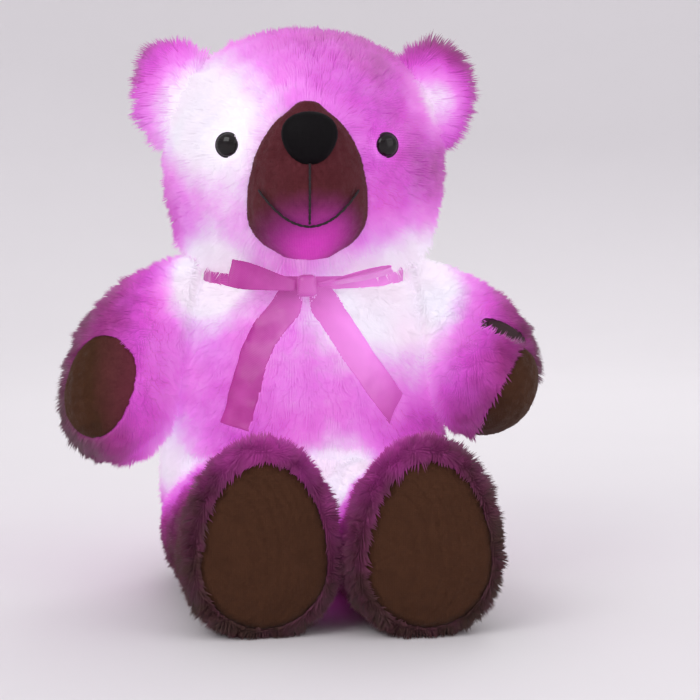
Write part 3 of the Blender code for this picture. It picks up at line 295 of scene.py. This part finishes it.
# Plain finishes
SECOND_TONE = 0.82
ROUGHNESS_SPAN = 0.12
PLAIN_GRAIN_DETAIL = 3.0
PLAIN_BUMP_STRENGTH = 0.4
PLAIN_FINISHES = {
    # slot: material, colour, roughness, metallic, grain size, grain depth, specular level
    "dark_plastic": ("dark_plastic", (0.030, 0.006, 0.012), 0.50, 0.0, 0.0020, 0.00010, 0.5),
    "nose_cloth": ("nose_cloth", (0.003, 0.002, 0.003), 0.62, 0.0, 0.0010, 0.00020, 0.12),
    "thread": ("thread", (0.012, 0.002, 0.005), 0.70, 0.0, 0.0008, 0.00020, 0.5),
    "patch_cloth": ("patch_cloth", (0.026, 0.001, 0.006), 0.75, 0.0, 0.0009, 0.00020, 0.5),
    "hook_cloth": ("hook_tape", (0.62, 0.58, 0.62), 0.90, 0.0, 0.0006, 0.00020, 0.5),
    "case_plastic": ("case_plastic", (0.72, 0.70, 0.69), 0.45, 0.0, 0.0008, 0.00004, 0.5),
    "cell_jacket": ("cell_jacket", (0.06, 0.14, 0.22), 0.40, 0.3, 0.0040, 0.00003, 0.5),
    "contact_metal": ("contact_metal", (0.66, 0.65, 0.61), 0.30, 1.0, 0.0020, 0.00003, 0.5),
    "wire_cover": ("wire_cover", (0.55, 0.03, 0.06), 0.45, 0.0, 0.0020, 0.00004, 0.5),
    "board": ("circuit_board", (0.02, 0.16, 0.06), 0.50, 0.0, 0.0030, 0.00004, 0.5),
}


# Meshes

def shape_of(node):
    """Return a merged copy of a CAD node's mesh."""
    shape = bmesh.new()
    shape.from_mesh(frame["nodes"][node].data)
    bmesh.ops.remove_doubles(shape, verts=shape.verts, dist=MERGE_DISTANCE)
    return shape


def evened(shape, step, smoothings=SMOOTHINGS):
    """Return the shape's skin as even small squares."""
    mesh = bpy.data.meshes.new("rough")
    shape.to_mesh(mesh)
    shape.free()
    rough = bpy.data.objects.new("rough", mesh)
    bpy.context.scene.collection.objects.link(rough)
    remesh = rough.modifiers.new("even", "REMESH")
    remesh.mode = "VOXEL"
    remesh.voxel_size = step
    depsgraph = bpy.context.evaluated_depsgraph_get()
    result = bmesh.new()
    result.from_object(rough, depsgraph)
    bpy.data.objects.remove(rough)
    bpy.data.meshes.remove(mesh)
    for _ in range(smoothings):
        bmesh.ops.smooth_vert(result, verts=result.verts, factor=SMOOTH_FACTOR,
                              use_axis_x=True, use_axis_y=True, use_axis_z=True)
    result.normal_update()
    return result


def placed(name, shape, node, material):
    """Link the shape as the piece that stands for a CAD node and rides on its body."""
    mesh = bpy.data.meshes.new(name)
    shape.to_mesh(mesh)
    shape.free()
    mesh.shade_smooth()
    mesh.materials.append(material)
    piece = bpy.data.objects.new(name, mesh)
    bpy.context.scene.collection.objects.link(piece)
    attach(piece, BODY_OF[node])
    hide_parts(node)
    return piece


def covers_of(node):
    """Return a tree of the CAD nodes round this one, to keep fur off them.

    The button housing is left out, so that the fur closes round the press patch.
    """
    verts = []
    faces = []
    for name, piece in frame["nodes"].items():
        if name in (node, "button_housing"):
            continue
        start = len(verts)
        verts += [vert.co.copy() for vert in piece.data.vertices]
        faces += [[start + index for index in face.vertices] for face in piece.data.polygons]
    return BVHTree.FromPolygons(verts, faces)


def flat_part(vector, normal):
    """Return what is left of the vector when its part along the normal is taken off."""
    return vector - normal * vector.dot(normal)


def grow(shape, covers, length_at, flow_at, lift, seed, lock=LOCK_SIZE):
    """Raise a tapered tuft on each face, combed along the flow and gathered in locks."""
    draw = random.Random(seed)
    tip_layer = shape.verts.layers.float.new("tip")
    tips = bmesh.ops.poke(shape, faces=shape.faces[:])["verts"]
    shape.normal_update()
    for tip in tips:
        root = tip.co.copy()
        normal = tip.normal.copy()
        flow = flat_part(flow_at(root), normal)
        sway = flat_part(noise.noise_vector(root / (2 * lock)), normal)
        flow = flow.normalized() + sway * LOCK_WAVE
        along = (normal * lift + flow * (1 - lift)).normalized()
        wave = 1 + FUR_SPREAD * noise.noise(root / lock)
        length = length_at(root) * wave * draw.uniform(*TUFT_SHARES)
        reach = along * length
        centre = Vector(noise.voronoi(root / lock)[1][0]) * lock
        reach += flat_part(centre - root, normal) * LOCK_PULL * min(1, length / lock)
        size = reach.length
        if size > 0:
            hit = covers.ray_cast(root - normal * SKIN_SINK, reach / size, size * COVER_REACH)
            if hit[0] is not None:
                reach *= PRESSED_SHARE * max(0, hit[3] - SKIN_SINK) / size
        tip.co = root + reach
        tip[tip_layer] = 1
    shape.normal_update()
    return shape


def down(place):
    """Comb straight down at any place."""
    return Vector((0, 0, -1))


def even_length(length):
    """Return a length of pile that is the same at any place."""
    return lambda place: length


# Shader boards

class Link:
    """A shader socket that adds Math nodes when it is used in sums."""

    def __init__(self, board, socket):
        self.board = board
        self.socket = socket

    def clamped(self):
        return self.sum("ADD", 0.0, clamp=True)

    def sum(self, operation, *others, clamp=False):
        settings = {"operation": operation, "use_clamp": clamp}
        inputs = {0: self}
        for index, other in enumerate(others):
            inputs[index + 1] = other
        return self.board.node("ShaderNodeMath", settings, inputs)

    def __add__(self, other):
        return self.sum("ADD", other)

    def __mul__(self, other):
        return self.sum("MULTIPLY", other)

    def __sub__(self, other):
        return self.sum("SUBTRACT", other)

    def __truediv__(self, other):
        return self.sum("DIVIDE", other)

    def __pow__(self, other):
        return self.sum("POWER", other)


class Board:
    """A material and the nodes that feed its surface."""

    def __init__(self, name, roughness, metallic=0.0):
        self.material = bpy.data.materials.new(name)
        self.material.use_nodes = True
        self.tree = self.material.node_tree
        self.surface = self.tree.nodes["Principled BSDF"]
        self.surface.inputs["Roughness"].default_value = roughness
        self.surface.inputs["Metallic"].default_value = metallic

    def node(self, kind, settings=None, inputs=None, output=0):
        made = self.tree.nodes.new(kind)
        for name, value in (settings or {}).items():
            if name == "stops":
                self.set_stops(made.color_ramp, value)
            else:
                setattr(made, name, value)
        for name, value in (inputs or {}).items():
            self.feed(made.inputs[name], value)
        return Link(self, made.outputs[output])

    def set_stops(self, ramp, stops):
        while len(ramp.elements) < len(stops):
            ramp.elements.new(0.5)
        for element, (place, colour) in zip(ramp.elements, stops):
            element.position = place
            element.color = (*colour, 1)

    def feed(self, socket, value):
        if isinstance(value, Link):
            self.tree.links.new(value.socket, socket)
        elif socket.type == "RGBA":
            socket.default_value = (*value, 1)
        else:
            socket.default_value = value

    def place(self):
        return self.node("ShaderNodeTexCoord", output="Object")

    def tip(self):
        return self.node("ShaderNodeAttribute", {"attribute_name": "tip"}, output="Fac")

    def grain(self, size, detail=2.0):
        inputs = {"Vector": self.place(), "Scale": 1 / size, "Detail": detail}
        return self.node("ShaderNodeTexNoise", {}, inputs)

    def blend(self, share, first, second, kind="MIX"):
        settings = {"data_type": "RGBA", "blend_type": kind}
        made = self.node("ShaderNodeMix", settings, {0: share}, output=2)
        mix_node = made.socket.node
        self.feed(mix_node.inputs[6], first)
        self.feed(mix_node.inputs[7], second)
        return made

    def bump(self, height, depth, strength=0.6):
        inputs = {"Height": height, "Distance": depth, "Strength": strength}
        self.set("Normal", self.node("ShaderNodeBump", {}, inputs))

    def set(self, name, value):
        self.feed(self.surface.inputs[name], value)


def glow_field(board, glows):
    """Return how brightly lamps light the pile, from its place alone."""
    stretch = {"Vector": board.place(), "Scale": (1, DEPTH_SHARE, 1)}
    where = board.node("ShaderNodeMapping", {"vector_type": "POINT"}, stretch)
    total = None
    for place, reach, strength in glows:
        centre = (place[0], place[1] * DEPTH_SHARE, place[2])
        far = board.node("ShaderNodeVectorMath", {"operation": "DISTANCE"},
                         {0: where, 1: centre}, output="Value")
        light = ((far / reach) ** 2 * -1).sum("EXPONENT") * strength
        total = light if total is None else total + light
    return total


# Finishes

def make_fur():
    """Long pile: painted lamplight by place, in its colour and as a glow, painted shade at the
    roots, fine strands and two faint tints.
    """
    board = Board("long_pile", FUR_ROUGHNESS)
    glow = glow_field(board, FUR_GLOWS)
    mottle = board.grain(*FUR_MOTTLE)
    level = (glow + (mottle - 0.5) * FUR_MOTTLE_GAIN).clamped()
    colour = board.node("ShaderNodeValToRGB", {"stops": PAINTED_FUR_LIGHT_COLOURS}, {"Fac": level})
    strand = board.grain(*STRAND_GRAIN)
    # painted shade: roots darker than tips, with fine strands
    depth = board.tip() * (1 - ROOT_SHADE) + ROOT_SHADE
    depth = depth * (strand * STRAND_GAIN + STRAND_LEAST)
    shade = board.node("ShaderNodeCombineColor", {},
                       {0: depth, 1: depth * SHADE_GREEN, 2: depth})
    tint = board.blend(board.grain(*TINT_GRAIN), WARM_TINT, COOL_TINT)
    tinted = board.blend(1.0, colour, tint, "MULTIPLY")
    base = board.blend(1.0, tinted, shade, "MULTIPLY")
    board.set("Base Color", base)
    # painted glow: the pile emits its own colour by place, where the lamps inside would light it
    shine = (level * GLOW_GAIN).clamped()
    board.set("Emission Color", board.blend(shine, (0, 0, 0), base))
    board.set("Emission Strength", GLOW_STRENGTH)
    board.set("Sheen Weight", FUR_SHEEN)
    board.set("Sheen Roughness", FUR_SHEEN_ROUGHNESS)
    return board.material


def make_velboa(name, tones, glows, start, gain):
    """Short smooth pile: two tones, painted light that shows through it near the lamps, and
    painted shade at its roots.
    """
    board = Board(name, CLOTH_ROUGHNESS)
    glow = glow_field(board, glows)
    mottle = board.grain(*CLOTH_MOTTLE)
    fine = board.grain(*CLOTH_GRAIN)
    dark, pale, lit = tones
    cloth = board.blend(mottle, dark, pale)
    level = ((glow - start) * gain + (mottle - 0.5) * CLOTH_MOTTLE_GAIN).clamped()
    shown = board.blend(level, cloth, lit)
    # painted shade: the pile darker at its roots than at its tips
    depth = board.tip() * CLOTH_TIP_GAIN + CLOTH_ROOT_SHADE
    shade = board.node("ShaderNodeCombineColor", {}, {0: depth, 1: depth, 2: depth})
    base = board.blend(1.0, shown, shade, "MULTIPLY")
    board.set("Base Color", base)
    board.set("Emission Color", board.blend(level, (0, 0, 0), lit))
    board.set("Emission Strength", CLOTH_GLOW)
    board.set("Sheen Weight", CLOTH_SHEEN)
    board.set("Specular IOR Level", CLOTH_SPECULAR)
    board.bump(fine, CLOTH_BUMP)
    return board.material


def make_satin():
    """A mottled ribbon with a fine diagonal weave, paler where a lamp shines through it."""
    board = Board("satin_ribbon", SATIN_ROUGHNESS)
    dark, pale, lit = SATIN_TONES
    broad = board.grain(*SATIN_MOTTLE)
    weave = board.node("ShaderNodeTexWave", {"wave_type": "BANDS", "bands_direction": "DIAGONAL"},
                       {"Vector": board.place(), **SATIN_WEAVE})
    glow = glow_field(board, RIBBON_GLOWS)
    level = (glow + (broad - 0.5) * SATIN_MOTTLE_GAIN).clamped()
    shown = board.blend(level, board.blend(broad, dark, pale), lit)
    board.set("Base Color", shown)
    smoothest = SATIN_ROUGHNESS - SATIN_ROUGHNESS_SPAN / 2
    board.set("Roughness", weave * SATIN_ROUGHNESS_SPAN + smoothest)
    # painted glow: the ribbon emits the colour it shows
    board.set("Emission Color", shown)
    board.set("Emission Strength", SATIN_GLOW)
    board.set("Sheen Weight", SATIN_SHEEN)
    board.bump(weave, SATIN_BUMP, SATIN_BUMP_STRENGTH)
    return board.material


def make_plain(name, colour, roughness, metallic, grain_size, depth, specular):
    """A finish with a second tone and a fine grain."""
    board = Board(name, roughness, metallic)
    board.set("Specular IOR Level", specular)
    grain = board.grain(grain_size, PLAIN_GRAIN_DETAIL)
    second = tuple(SECOND_TONE * part for part in colour)
    board.set("Base Color", board.blend(grain, second, colour))
    board.set("Roughness", grain * ROUGHNESS_SPAN + (roughness - ROUGHNESS_SPAN / 2))
    board.bump(grain, depth, PLAIN_BUMP_STRENGTH)
    return board.material


def make_eye_gloss():
    """Nearly black plastic with a faint mottle, under a thin clear coat."""
    board = Board("eye_gloss", EYE_ROUGHNESS)
    grain = board.grain(EYE_GRAIN)
    board.set("Base Color", board.blend(grain, *EYE_TONES))
    board.set("Roughness", grain * EYE_ROUGHNESS_SPAN + EYE_ROUGHNESS)
    board.set("Coat Weight", EYE_COAT)
    board.set("Specular IOR Level", EYE_SPECULAR)
    return board.material


def make_lens():
    """A lit lamp lens."""
    board = Board("lamp_lens", LENS_ROUGHNESS)
    colour = board.blend(board.grain(LENS_GRAIN), *LENS_TONES)
    board.set("Base Color", colour)
    board.set("Emission Color", colour)
    board.set("Emission Strength", LENS_GLOW)
    return board.material


def make_finishes():
    """Return every finish by its slot, or by the name that the pieces ask for."""
    finishes = {
        "plush": make_fur(),
        "velboa": make_velboa("short_pile", SOLE_TONES, FUR_GLOWS, *SOLE_LIT),
        "snout": make_velboa("snout_pile", SNOUT_TONES, SNOUT_GLOWS, *SNOUT_LIT),
        "satin": make_satin(),
        "black_gloss": make_eye_gloss(),
        "lamp_lens": make_lens(),
    }
    for slot, values in PLAIN_FINISHES.items():
        finishes[slot] = make_plain(*values)
    return finishes


# Plush pieces

def head_flow(place):
    """Fur leaves the snout all round, and falls at the back."""
    return (place - SNOUT_ROOT).normalized() * SNOUT_PULL + HEAD_FALL


def head_length(place):
    """Fur is longest along the jaw, where it hangs over the ribbon."""
    share = min(1, max(0, (JAW_TOP - place.z) / JAW_DEPTH))
    return FUR_LENGTH + (JAW_LENGTH - FUR_LENGTH) * share


def limb_flow(root):
    """Fur runs down a limb or an ear, away from its root."""
    def flow(place):
        return (place - root).normalized() + LIMB_FALL
    return flow


def leg_flow(place):
    """Fur runs along a leg to its sole."""
    return LEG_WAY


def torso_length(place):
    """Fur stops at the lining of the pocket, which the back flap covers."""
    low, high = FLAP_BOX
    lined = (abs(place.x) < high.x + LINING_MARGIN and place.y > 0
             and low.z - LINING_MARGIN < place.z < high.z + LINING_MARGIN
             and place.y < high.y + LINING_MARGIN)
    return LINING_LENGTH if lined else FUR_LENGTH


def flap_length(place):
    """Only the flap's outside has fur."""
    low, high = FLAP_BOX
    return FLAP_LENGTH if place.y > (low.y + high.y) / 2 else LINING_LENGTH


def clearing(place, centres, inner, outer):
    """Return how free of the centres a place is, from 0 to 1, and the way off the nearest."""
    nearest = min(centres, key=lambda centre: (place - centre).length)
    away = place - nearest
    share = (away.length - inner) / (outer - inner)
    return min(1, max(0, share)), away.normalized()


def parted(length_at, flow_at, centres, inner, outer, shortest):
    """Shorten the fur near the centres and comb it off them."""
    def length(place):
        share = clearing(place, centres, inner, outer)[0]
        return length_at(place) * (shortest + (1 - shortest) * share)

    def flow(place):
        share, away = clearing(place, centres, inner, outer)
        return flow_at(place) * share + away * (1 - share)
    return length, flow


def rim_length(place):
    """Fur is longest round the sole."""
    share = min(1, max(0, 1 - (place.y - FOOT_FRONT) / RIM_DEPTH))
    return FUR_LENGTH + (RIM_LENGTH - FUR_LENGTH) * share


def make_plush():
    """Grow long fur on every stuffed form."""
    fur = FINISHES["plush"]
    plans = {
        # step, length, flow, lift
        "torso": (FUR_STEP, torso_length, down, FUR_LIFT),
        "head": (FUR_STEP, head_length, head_flow, FUR_LIFT),
        "back_flap": (FLAP_STEP, flap_length, down, FUR_LIFT),
    }
    for side, sign in SIDES.items():
        ear_root = Vector((sign * EAR_ROOT[0], *EAR_ROOT[1:]))
        shoulder = Vector((sign * SHOULDER_ROOT[0], *SHOULDER_ROOT[1:]))
        plans[f"ear_{side}"] = (EAR_STEP, even_length(EAR_LENGTH), limb_flow(ear_root), EAR_LIFT)
        plans[f"arm_{side}"] = (FUR_STEP, even_length(FUR_LENGTH), limb_flow(shoulder), FUR_LIFT)
        plans[f"leg_{side}"] = (FUR_STEP, rim_length, leg_flow, LEG_LIFT)
    eyes = [eye_seat(side)[0] for side in SIDES]
    patch = [sum(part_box("press_patch"), Vector()) / 2]
    for node, centres, clear in (("head", eyes, EYE_CLEAR), ("arm_left", patch, PATCH_CLEAR)):
        step, length_at, flow_at, lift = plans[node]
        plans[node] = (step, *parted(length_at, flow_at, centres, *clear), lift)
    for seed, (node, plan) in enumerate(plans.items(), start=FIRST_SEED):
        step, length_at, flow_at, lift = plan
        shape = evened(shape_of(node), step)
        grow(shape, covers_of(node), length_at, flow_at, lift, seed)
        keep_above_floor(shape)
        piece = placed(f"{node}_plush", shape, node, fur)


def keep_above_floor(shape):
    """Press what hangs below the floor flat on it."""
    for vert in shape.verts:
        vert.co.z = max(vert.co.z, 0)


def make_short_pile():
    """Grow velvet pile on the snout, the paw pads and the soles."""
    plans = {"muzzle": "snout"}
    for side in SIDES:
        plans[f"paw_pad_{side}"] = "velboa"
        plans[f"sole_pad_{side}"] = "velboa"
    for number, (node, finish) in enumerate(plans.items()):
        shape = evened(shape_of(node), PILE_STEP)
        if node == "muzzle":
            round_ends(shape)
            crease(shape)
        grow(shape, covers_of(node), even_length(PILE_LENGTH), down, PILE_LIFT, number, PILE_LOCK)
        piece = placed(f"{node}_pile", shape, node, FINISHES[finish])


def levels_of(shape):
    """Return the lowest and the highest level of a shape."""
    levels = [vert.co.z for vert in shape.verts]
    return min(levels), max(levels)


def stretch(shape, rise, drop):
    """Move the shape's top up and its bottom down, and what lies between in proportion."""
    low, high = levels_of(shape)
    for vert in shape.verts:
        share = (vert.co.z - low) / (high - low)
        vert.co.z += rise * share - drop * (1 - share)


def round_ends(shape):
    """Round the snout's brow and chin, which end flat in the CAD."""
    low, high = levels_of(shape)
    for vert in shape.verts:
        brow = max(0, 1 - (high - vert.co.z) / END_DEPTH)
        chin = max(0, 1 - (vert.co.z - low) / END_DEPTH)
        vert.co.z += BROW_BULGE * brow * max(0, 1 - (vert.co.x / BROW_WIDTH) ** 2)
        vert.co.z -= CHIN_BULGE * chin * max(0, 1 - (vert.co.x / CHIN_WIDTH) ** 2)
    shape.normal_update()


def crease(shape):
    """Draw the snout in where its thread pulls on it."""
    depsgraph = bpy.context.evaluated_depsgraph_get()
    threads = BVHTree.FromObject(frame["nodes"]["mouth_stitch"], depsgraph)
    for vert in shape.verts:
        gap = threads.find_nearest(vert.co)[3]
        vert.co -= vert.normal * CREASE_DEPTH * math.exp(-(gap / CREASE_WIDTH) ** 2)
    shape.normal_update()


def make_nose():
    """Draw the nose's lower end out to a soft point and give it a nap."""
    shape = evened(shape_of("nose"), PATCH_STEP)
    stretch(shape, 0, NOSE_DROP)
    shape.normal_update()
    grow(shape, covers_of("nose"), even_length(PATCH_PILE), down, PATCH_LIFT, NOSE_SEED,
         PATCH_LOCK)
    placed("nose_cloth", shape, "nose", FINISHES["nose_cloth"])


def make_threads():
    """Turn each sewn line into a row of stitches."""
    for node, axis in (("mouth_stitch", 0), ("lip_stitch", 2)):
        shape = evened(shape_of(node), THREAD_STEP, THREAD_SMOOTHINGS)
        if node == "lip_stitch":
            stretch(shape, LIP_RISE, LIP_DROP)
        for vert in shape.verts:
            turn = math.pi * vert.co[axis] / STITCH_LENGTH
            pinch = (1 - abs(math.sin(turn))) ** STITCH_POWER
            vert.co -= vert.normal * STITCH_PINCH * pinch
        placed(f"{node}_thread", shape, node, FINISHES["thread"])


def make_patch():
    """Give the press patch its nap."""
    shape = evened(shape_of("press_patch"), PATCH_STEP, PATCH_SMOOTHINGS)
    grow(shape, covers_of("press_patch"), even_length(PATCH_PILE), down, PATCH_LIFT, PATCH_SEED,
         PATCH_LOCK)
    placed("press_patch_cloth", shape, "press_patch", FINISHES["patch_cloth"])


def make_tapes():
    """Grow the stubble of the hook and loop tapes."""
    for number, node in enumerate(("hook_strip", "loop_strip")):
        shape = evened(shape_of(node), TAPE_STEP, TAPE_SMOOTHINGS)
        grow(shape, covers_of(node), even_length(TAPE_PILE), down, TAPE_LIFT, number, TAPE_LOCK)
        placed(f"{node}_tape", shape, node, FINISHES["hook_cloth"])


# Eyes

def eye_seat(side):
    """Return the centre of the eye's back on its own axis, and the way it faces."""
    forward = Vector((SIDES[side] * math.sin(EYE_TURN), -math.cos(EYE_TURN), 0))
    points = [vert.co for vert in frame["nodes"][f"eye_{side}"].data.vertices]
    middle = sum(points, Vector()) / len(points)
    top = max(point.dot(forward) for point in points)
    return middle + forward * (top - EYE_DOME - middle.dot(forward)), forward


def make_eye(side):
    """Spin a domed eye with a bead round its edge, on the CAD eye's own axis."""
    node = f"eye_{side}"
    origin, forward = eye_seat(side)
    shank_end = -SHANK_LENGTH + EYE_DOME
    bead = EYE_BEAD / 2
    seat = EYE_BEAD * DOME_SEAT_SHARE
    profile = [(0, shank_end), (SHANK_RADIUS, shank_end), (SHANK_RADIUS, 0)]
    for number in range(BEAD_STEPS + 1):
        turn = -math.pi / 2 + math.pi * number / BEAD_STEPS
        profile.append((EYE_RADIUS - bead + bead * math.cos(turn), bead + bead * math.sin(turn)))
    for number in range(DOME_POINTS):
        turn = math.pi / 2 * number / DOME_POINTS
        profile.append(((EYE_RADIUS - EYE_BEAD) * math.cos(turn),
                        seat + (EYE_DOME - seat) * math.sin(turn)))
    profile.append((0, EYE_DOME))
    side_way = Vector((0, 0, 1)).cross(forward).normalized()
    up = forward.cross(side_way)
    turn_frame = Matrix((side_way, up, forward)).transposed().to_4x4()
    turn_frame.translation = origin
    shape = spun(profile, turn_frame, EYE_STEPS)
    placed(f"{node}_dome", shape, node, FINISHES["black_gloss"])


def spun(profile, turn_frame, steps):
    """Return a closed turned solid from radius and height pairs."""
    shape = bmesh.new()
    verts = [shape.verts.new((radius, 0, height)) for radius, height in profile]
    edges = [shape.edges.new(pair) for pair in zip(verts, verts[1:])]
    bmesh.ops.spin(shape, geom=verts + edges, cent=(0, 0, 0), axis=(0, 0, 1), angle=2 * math.pi,
                   steps=steps, use_merge=True)
    bmesh.ops.remove_doubles(shape, verts=shape.verts, dist=MERGE_DISTANCE)
    bmesh.ops.recalc_face_normals(shape, faces=shape.faces)
    bmesh.ops.transform(shape, matrix=turn_frame, verts=shape.verts)
    return shape


# Ribbon

def make_ribbon():
    """Dress the band, knot, loops and tails in creased satin."""
    plans = {
        # flat width and length, how it is held, what it lies on
        "ribbon_band": (0.0103, 0.360, "stretched", "torso"),
        "ribbon_knot": (0.0130, 0.028, "folded", "ribbon_band"),
        "bow_loop_left": (RIBBON_WIDTH, 0.055, "gathered", "ribbon_knot"),
        "bow_loop_right": (RIBBON_WIDTH, 0.068, "gathered", "ribbon_knot"),
        "bow_tail_left": (RIBBON_WIDTH, 0.103, "hung", "torso"),
        "bow_tail_right": (RIBBON_WIDTH, 0.106, "hung", "torso"),
    }
    for node, (width, length, held, under) in plans.items():
        shape = evened(shape_of(node), RIBBON_STEP, RIBBON_SMOOTHINGS)
        if node in TAIL_SIDES:
            tuck_under_knot(shape, TAIL_SIDES[node])
        for vert in shape.verts:
            sway = noise.noise_vector(vert.co / CREASE_SIZE)
            vert.co += flat_part(sway, Vector((0, 0, 1))) * CREASE_SWAY
        shape.normal_update()
        piece = placed(f"{node}_satin", shape, node, FINISHES["satin"])


def tuck_under_knot(shape, side):
    """Raise the top of a tail to the underside of the knot and bring it in below it."""
    top = levels_of(shape)[1]
    for vert in shape.verts:
        share = max(0, 1 - (top - vert.co.z) / ROOT_REACH) ** ROOT_POWER
        vert.co.z += ROOT_RISE * share
        vert.co.x -= side * ROOT_SHIFT * share


# Studio

def make_studio():
    """Spin a pale floor that curves up into a round wall, and set lamps and sky."""
    profile = [(0, 0), (FLOOR_RADIUS, 0)]
    for number in range(1, SWEEP_STEPS + 1):
        turn = math.pi / 2 * number / SWEEP_STEPS
        profile.append((FLOOR_RADIUS + SWEEP_RADIUS * math.sin(turn),
                        SWEEP_RADIUS * (1 - math.cos(turn))))
    profile.append((FLOOR_RADIUS + SWEEP_RADIUS, WALL_HEIGHT))
    shape = spun(profile, Matrix.Identity(4), FLOOR_STEPS)
    bmesh.ops.reverse_faces(shape, faces=shape.faces)
    mesh = bpy.data.meshes.new("floor")
    shape.to_mesh(mesh)
    shape.free()
    mesh.shade_smooth()
    board = Board("pale_floor", FLOOR_ROUGHNESS)
    second = tuple(FLOOR_SHADE * part for part in FLOOR_COLOUR)
    board.set("Base Color", board.blend(board.grain(FLOOR_MOTTLE), FLOOR_COLOUR, second))
    mesh.materials.append(board.material)
    floor = bpy.data.objects.new("floor", mesh)
    bpy.context.scene.collection.objects.link(floor)
    for name, (place, size, power) in LIGHTS.items():
        light = bpy.data.lights.new(name, "AREA")
        light.size = size
        light.energy = power
        lamp = bpy.data.objects.new(name, light)
        bpy.context.scene.collection.objects.link(lamp)
        lamp.location = place
        lamp.rotation_euler = (CAMERA_AIM - Vector(place)).to_track_quat("-Z", "Y").to_euler()
    world = bpy.data.worlds.new("studio")
    world.use_nodes = True
    sky = world.node_tree.nodes["Background"]
    sky.inputs["Color"].default_value = WORLD_COLOUR
    sky.inputs["Strength"].default_value = WORLD_STRENGTH
    bpy.context.scene.world = world


def make_camera():
    """Set the camera as the photo was taken, from in front and a little above."""
    away = Vector((math.sin(CAMERA_AZIMUTH) * math.cos(CAMERA_RISE),
                   -math.cos(CAMERA_AZIMUTH) * math.cos(CAMERA_RISE), math.sin(CAMERA_RISE)))
    camera = bpy.data.cameras.new("camera")
    camera.sensor_width = SENSOR_WIDTH
    camera.lens = SENSOR_WIDTH * FOCAL_PIXELS / IMAGE_SIDE
    camera.shift_x = 0.5 - AIM_PIXEL[0] / IMAGE_SIDE
    camera.shift_y = AIM_PIXEL[1] / IMAGE_SIDE - 0.5
    eye = bpy.data.objects.new("camera", camera)
    bpy.context.scene.collection.objects.link(eye)
    eye.location = CAMERA_AIM + away * CAMERA_DISTANCE
    eye.rotation_euler = (-away).to_track_quat("-Z", "Y").to_euler()
    bpy.context.scene.camera = eye


def dress_inner_nodes():
    """Give each CAD node that stays its own finish."""
    for name, node in frame["nodes"].items():
        if node.hide_render:
            continue
        node.data.materials.clear()
        finish = NODE_FINISHES.get(name, SLOT_OF[name])
        node.data.materials.append(FINISHES[finish])


noise.seed_set(NOISE_SEED)
FINISHES = make_finishes()
make_camera()
make_studio()
make_plush()
make_short_pile()
make_nose()
make_threads()
make_patch()
make_tapes()
for eye_side in SIDES:
    make_eye(eye_side)
make_ribbon()
dress_inner_nodes()
bpy.context.scene.view_settings.view_transform = "Standard"
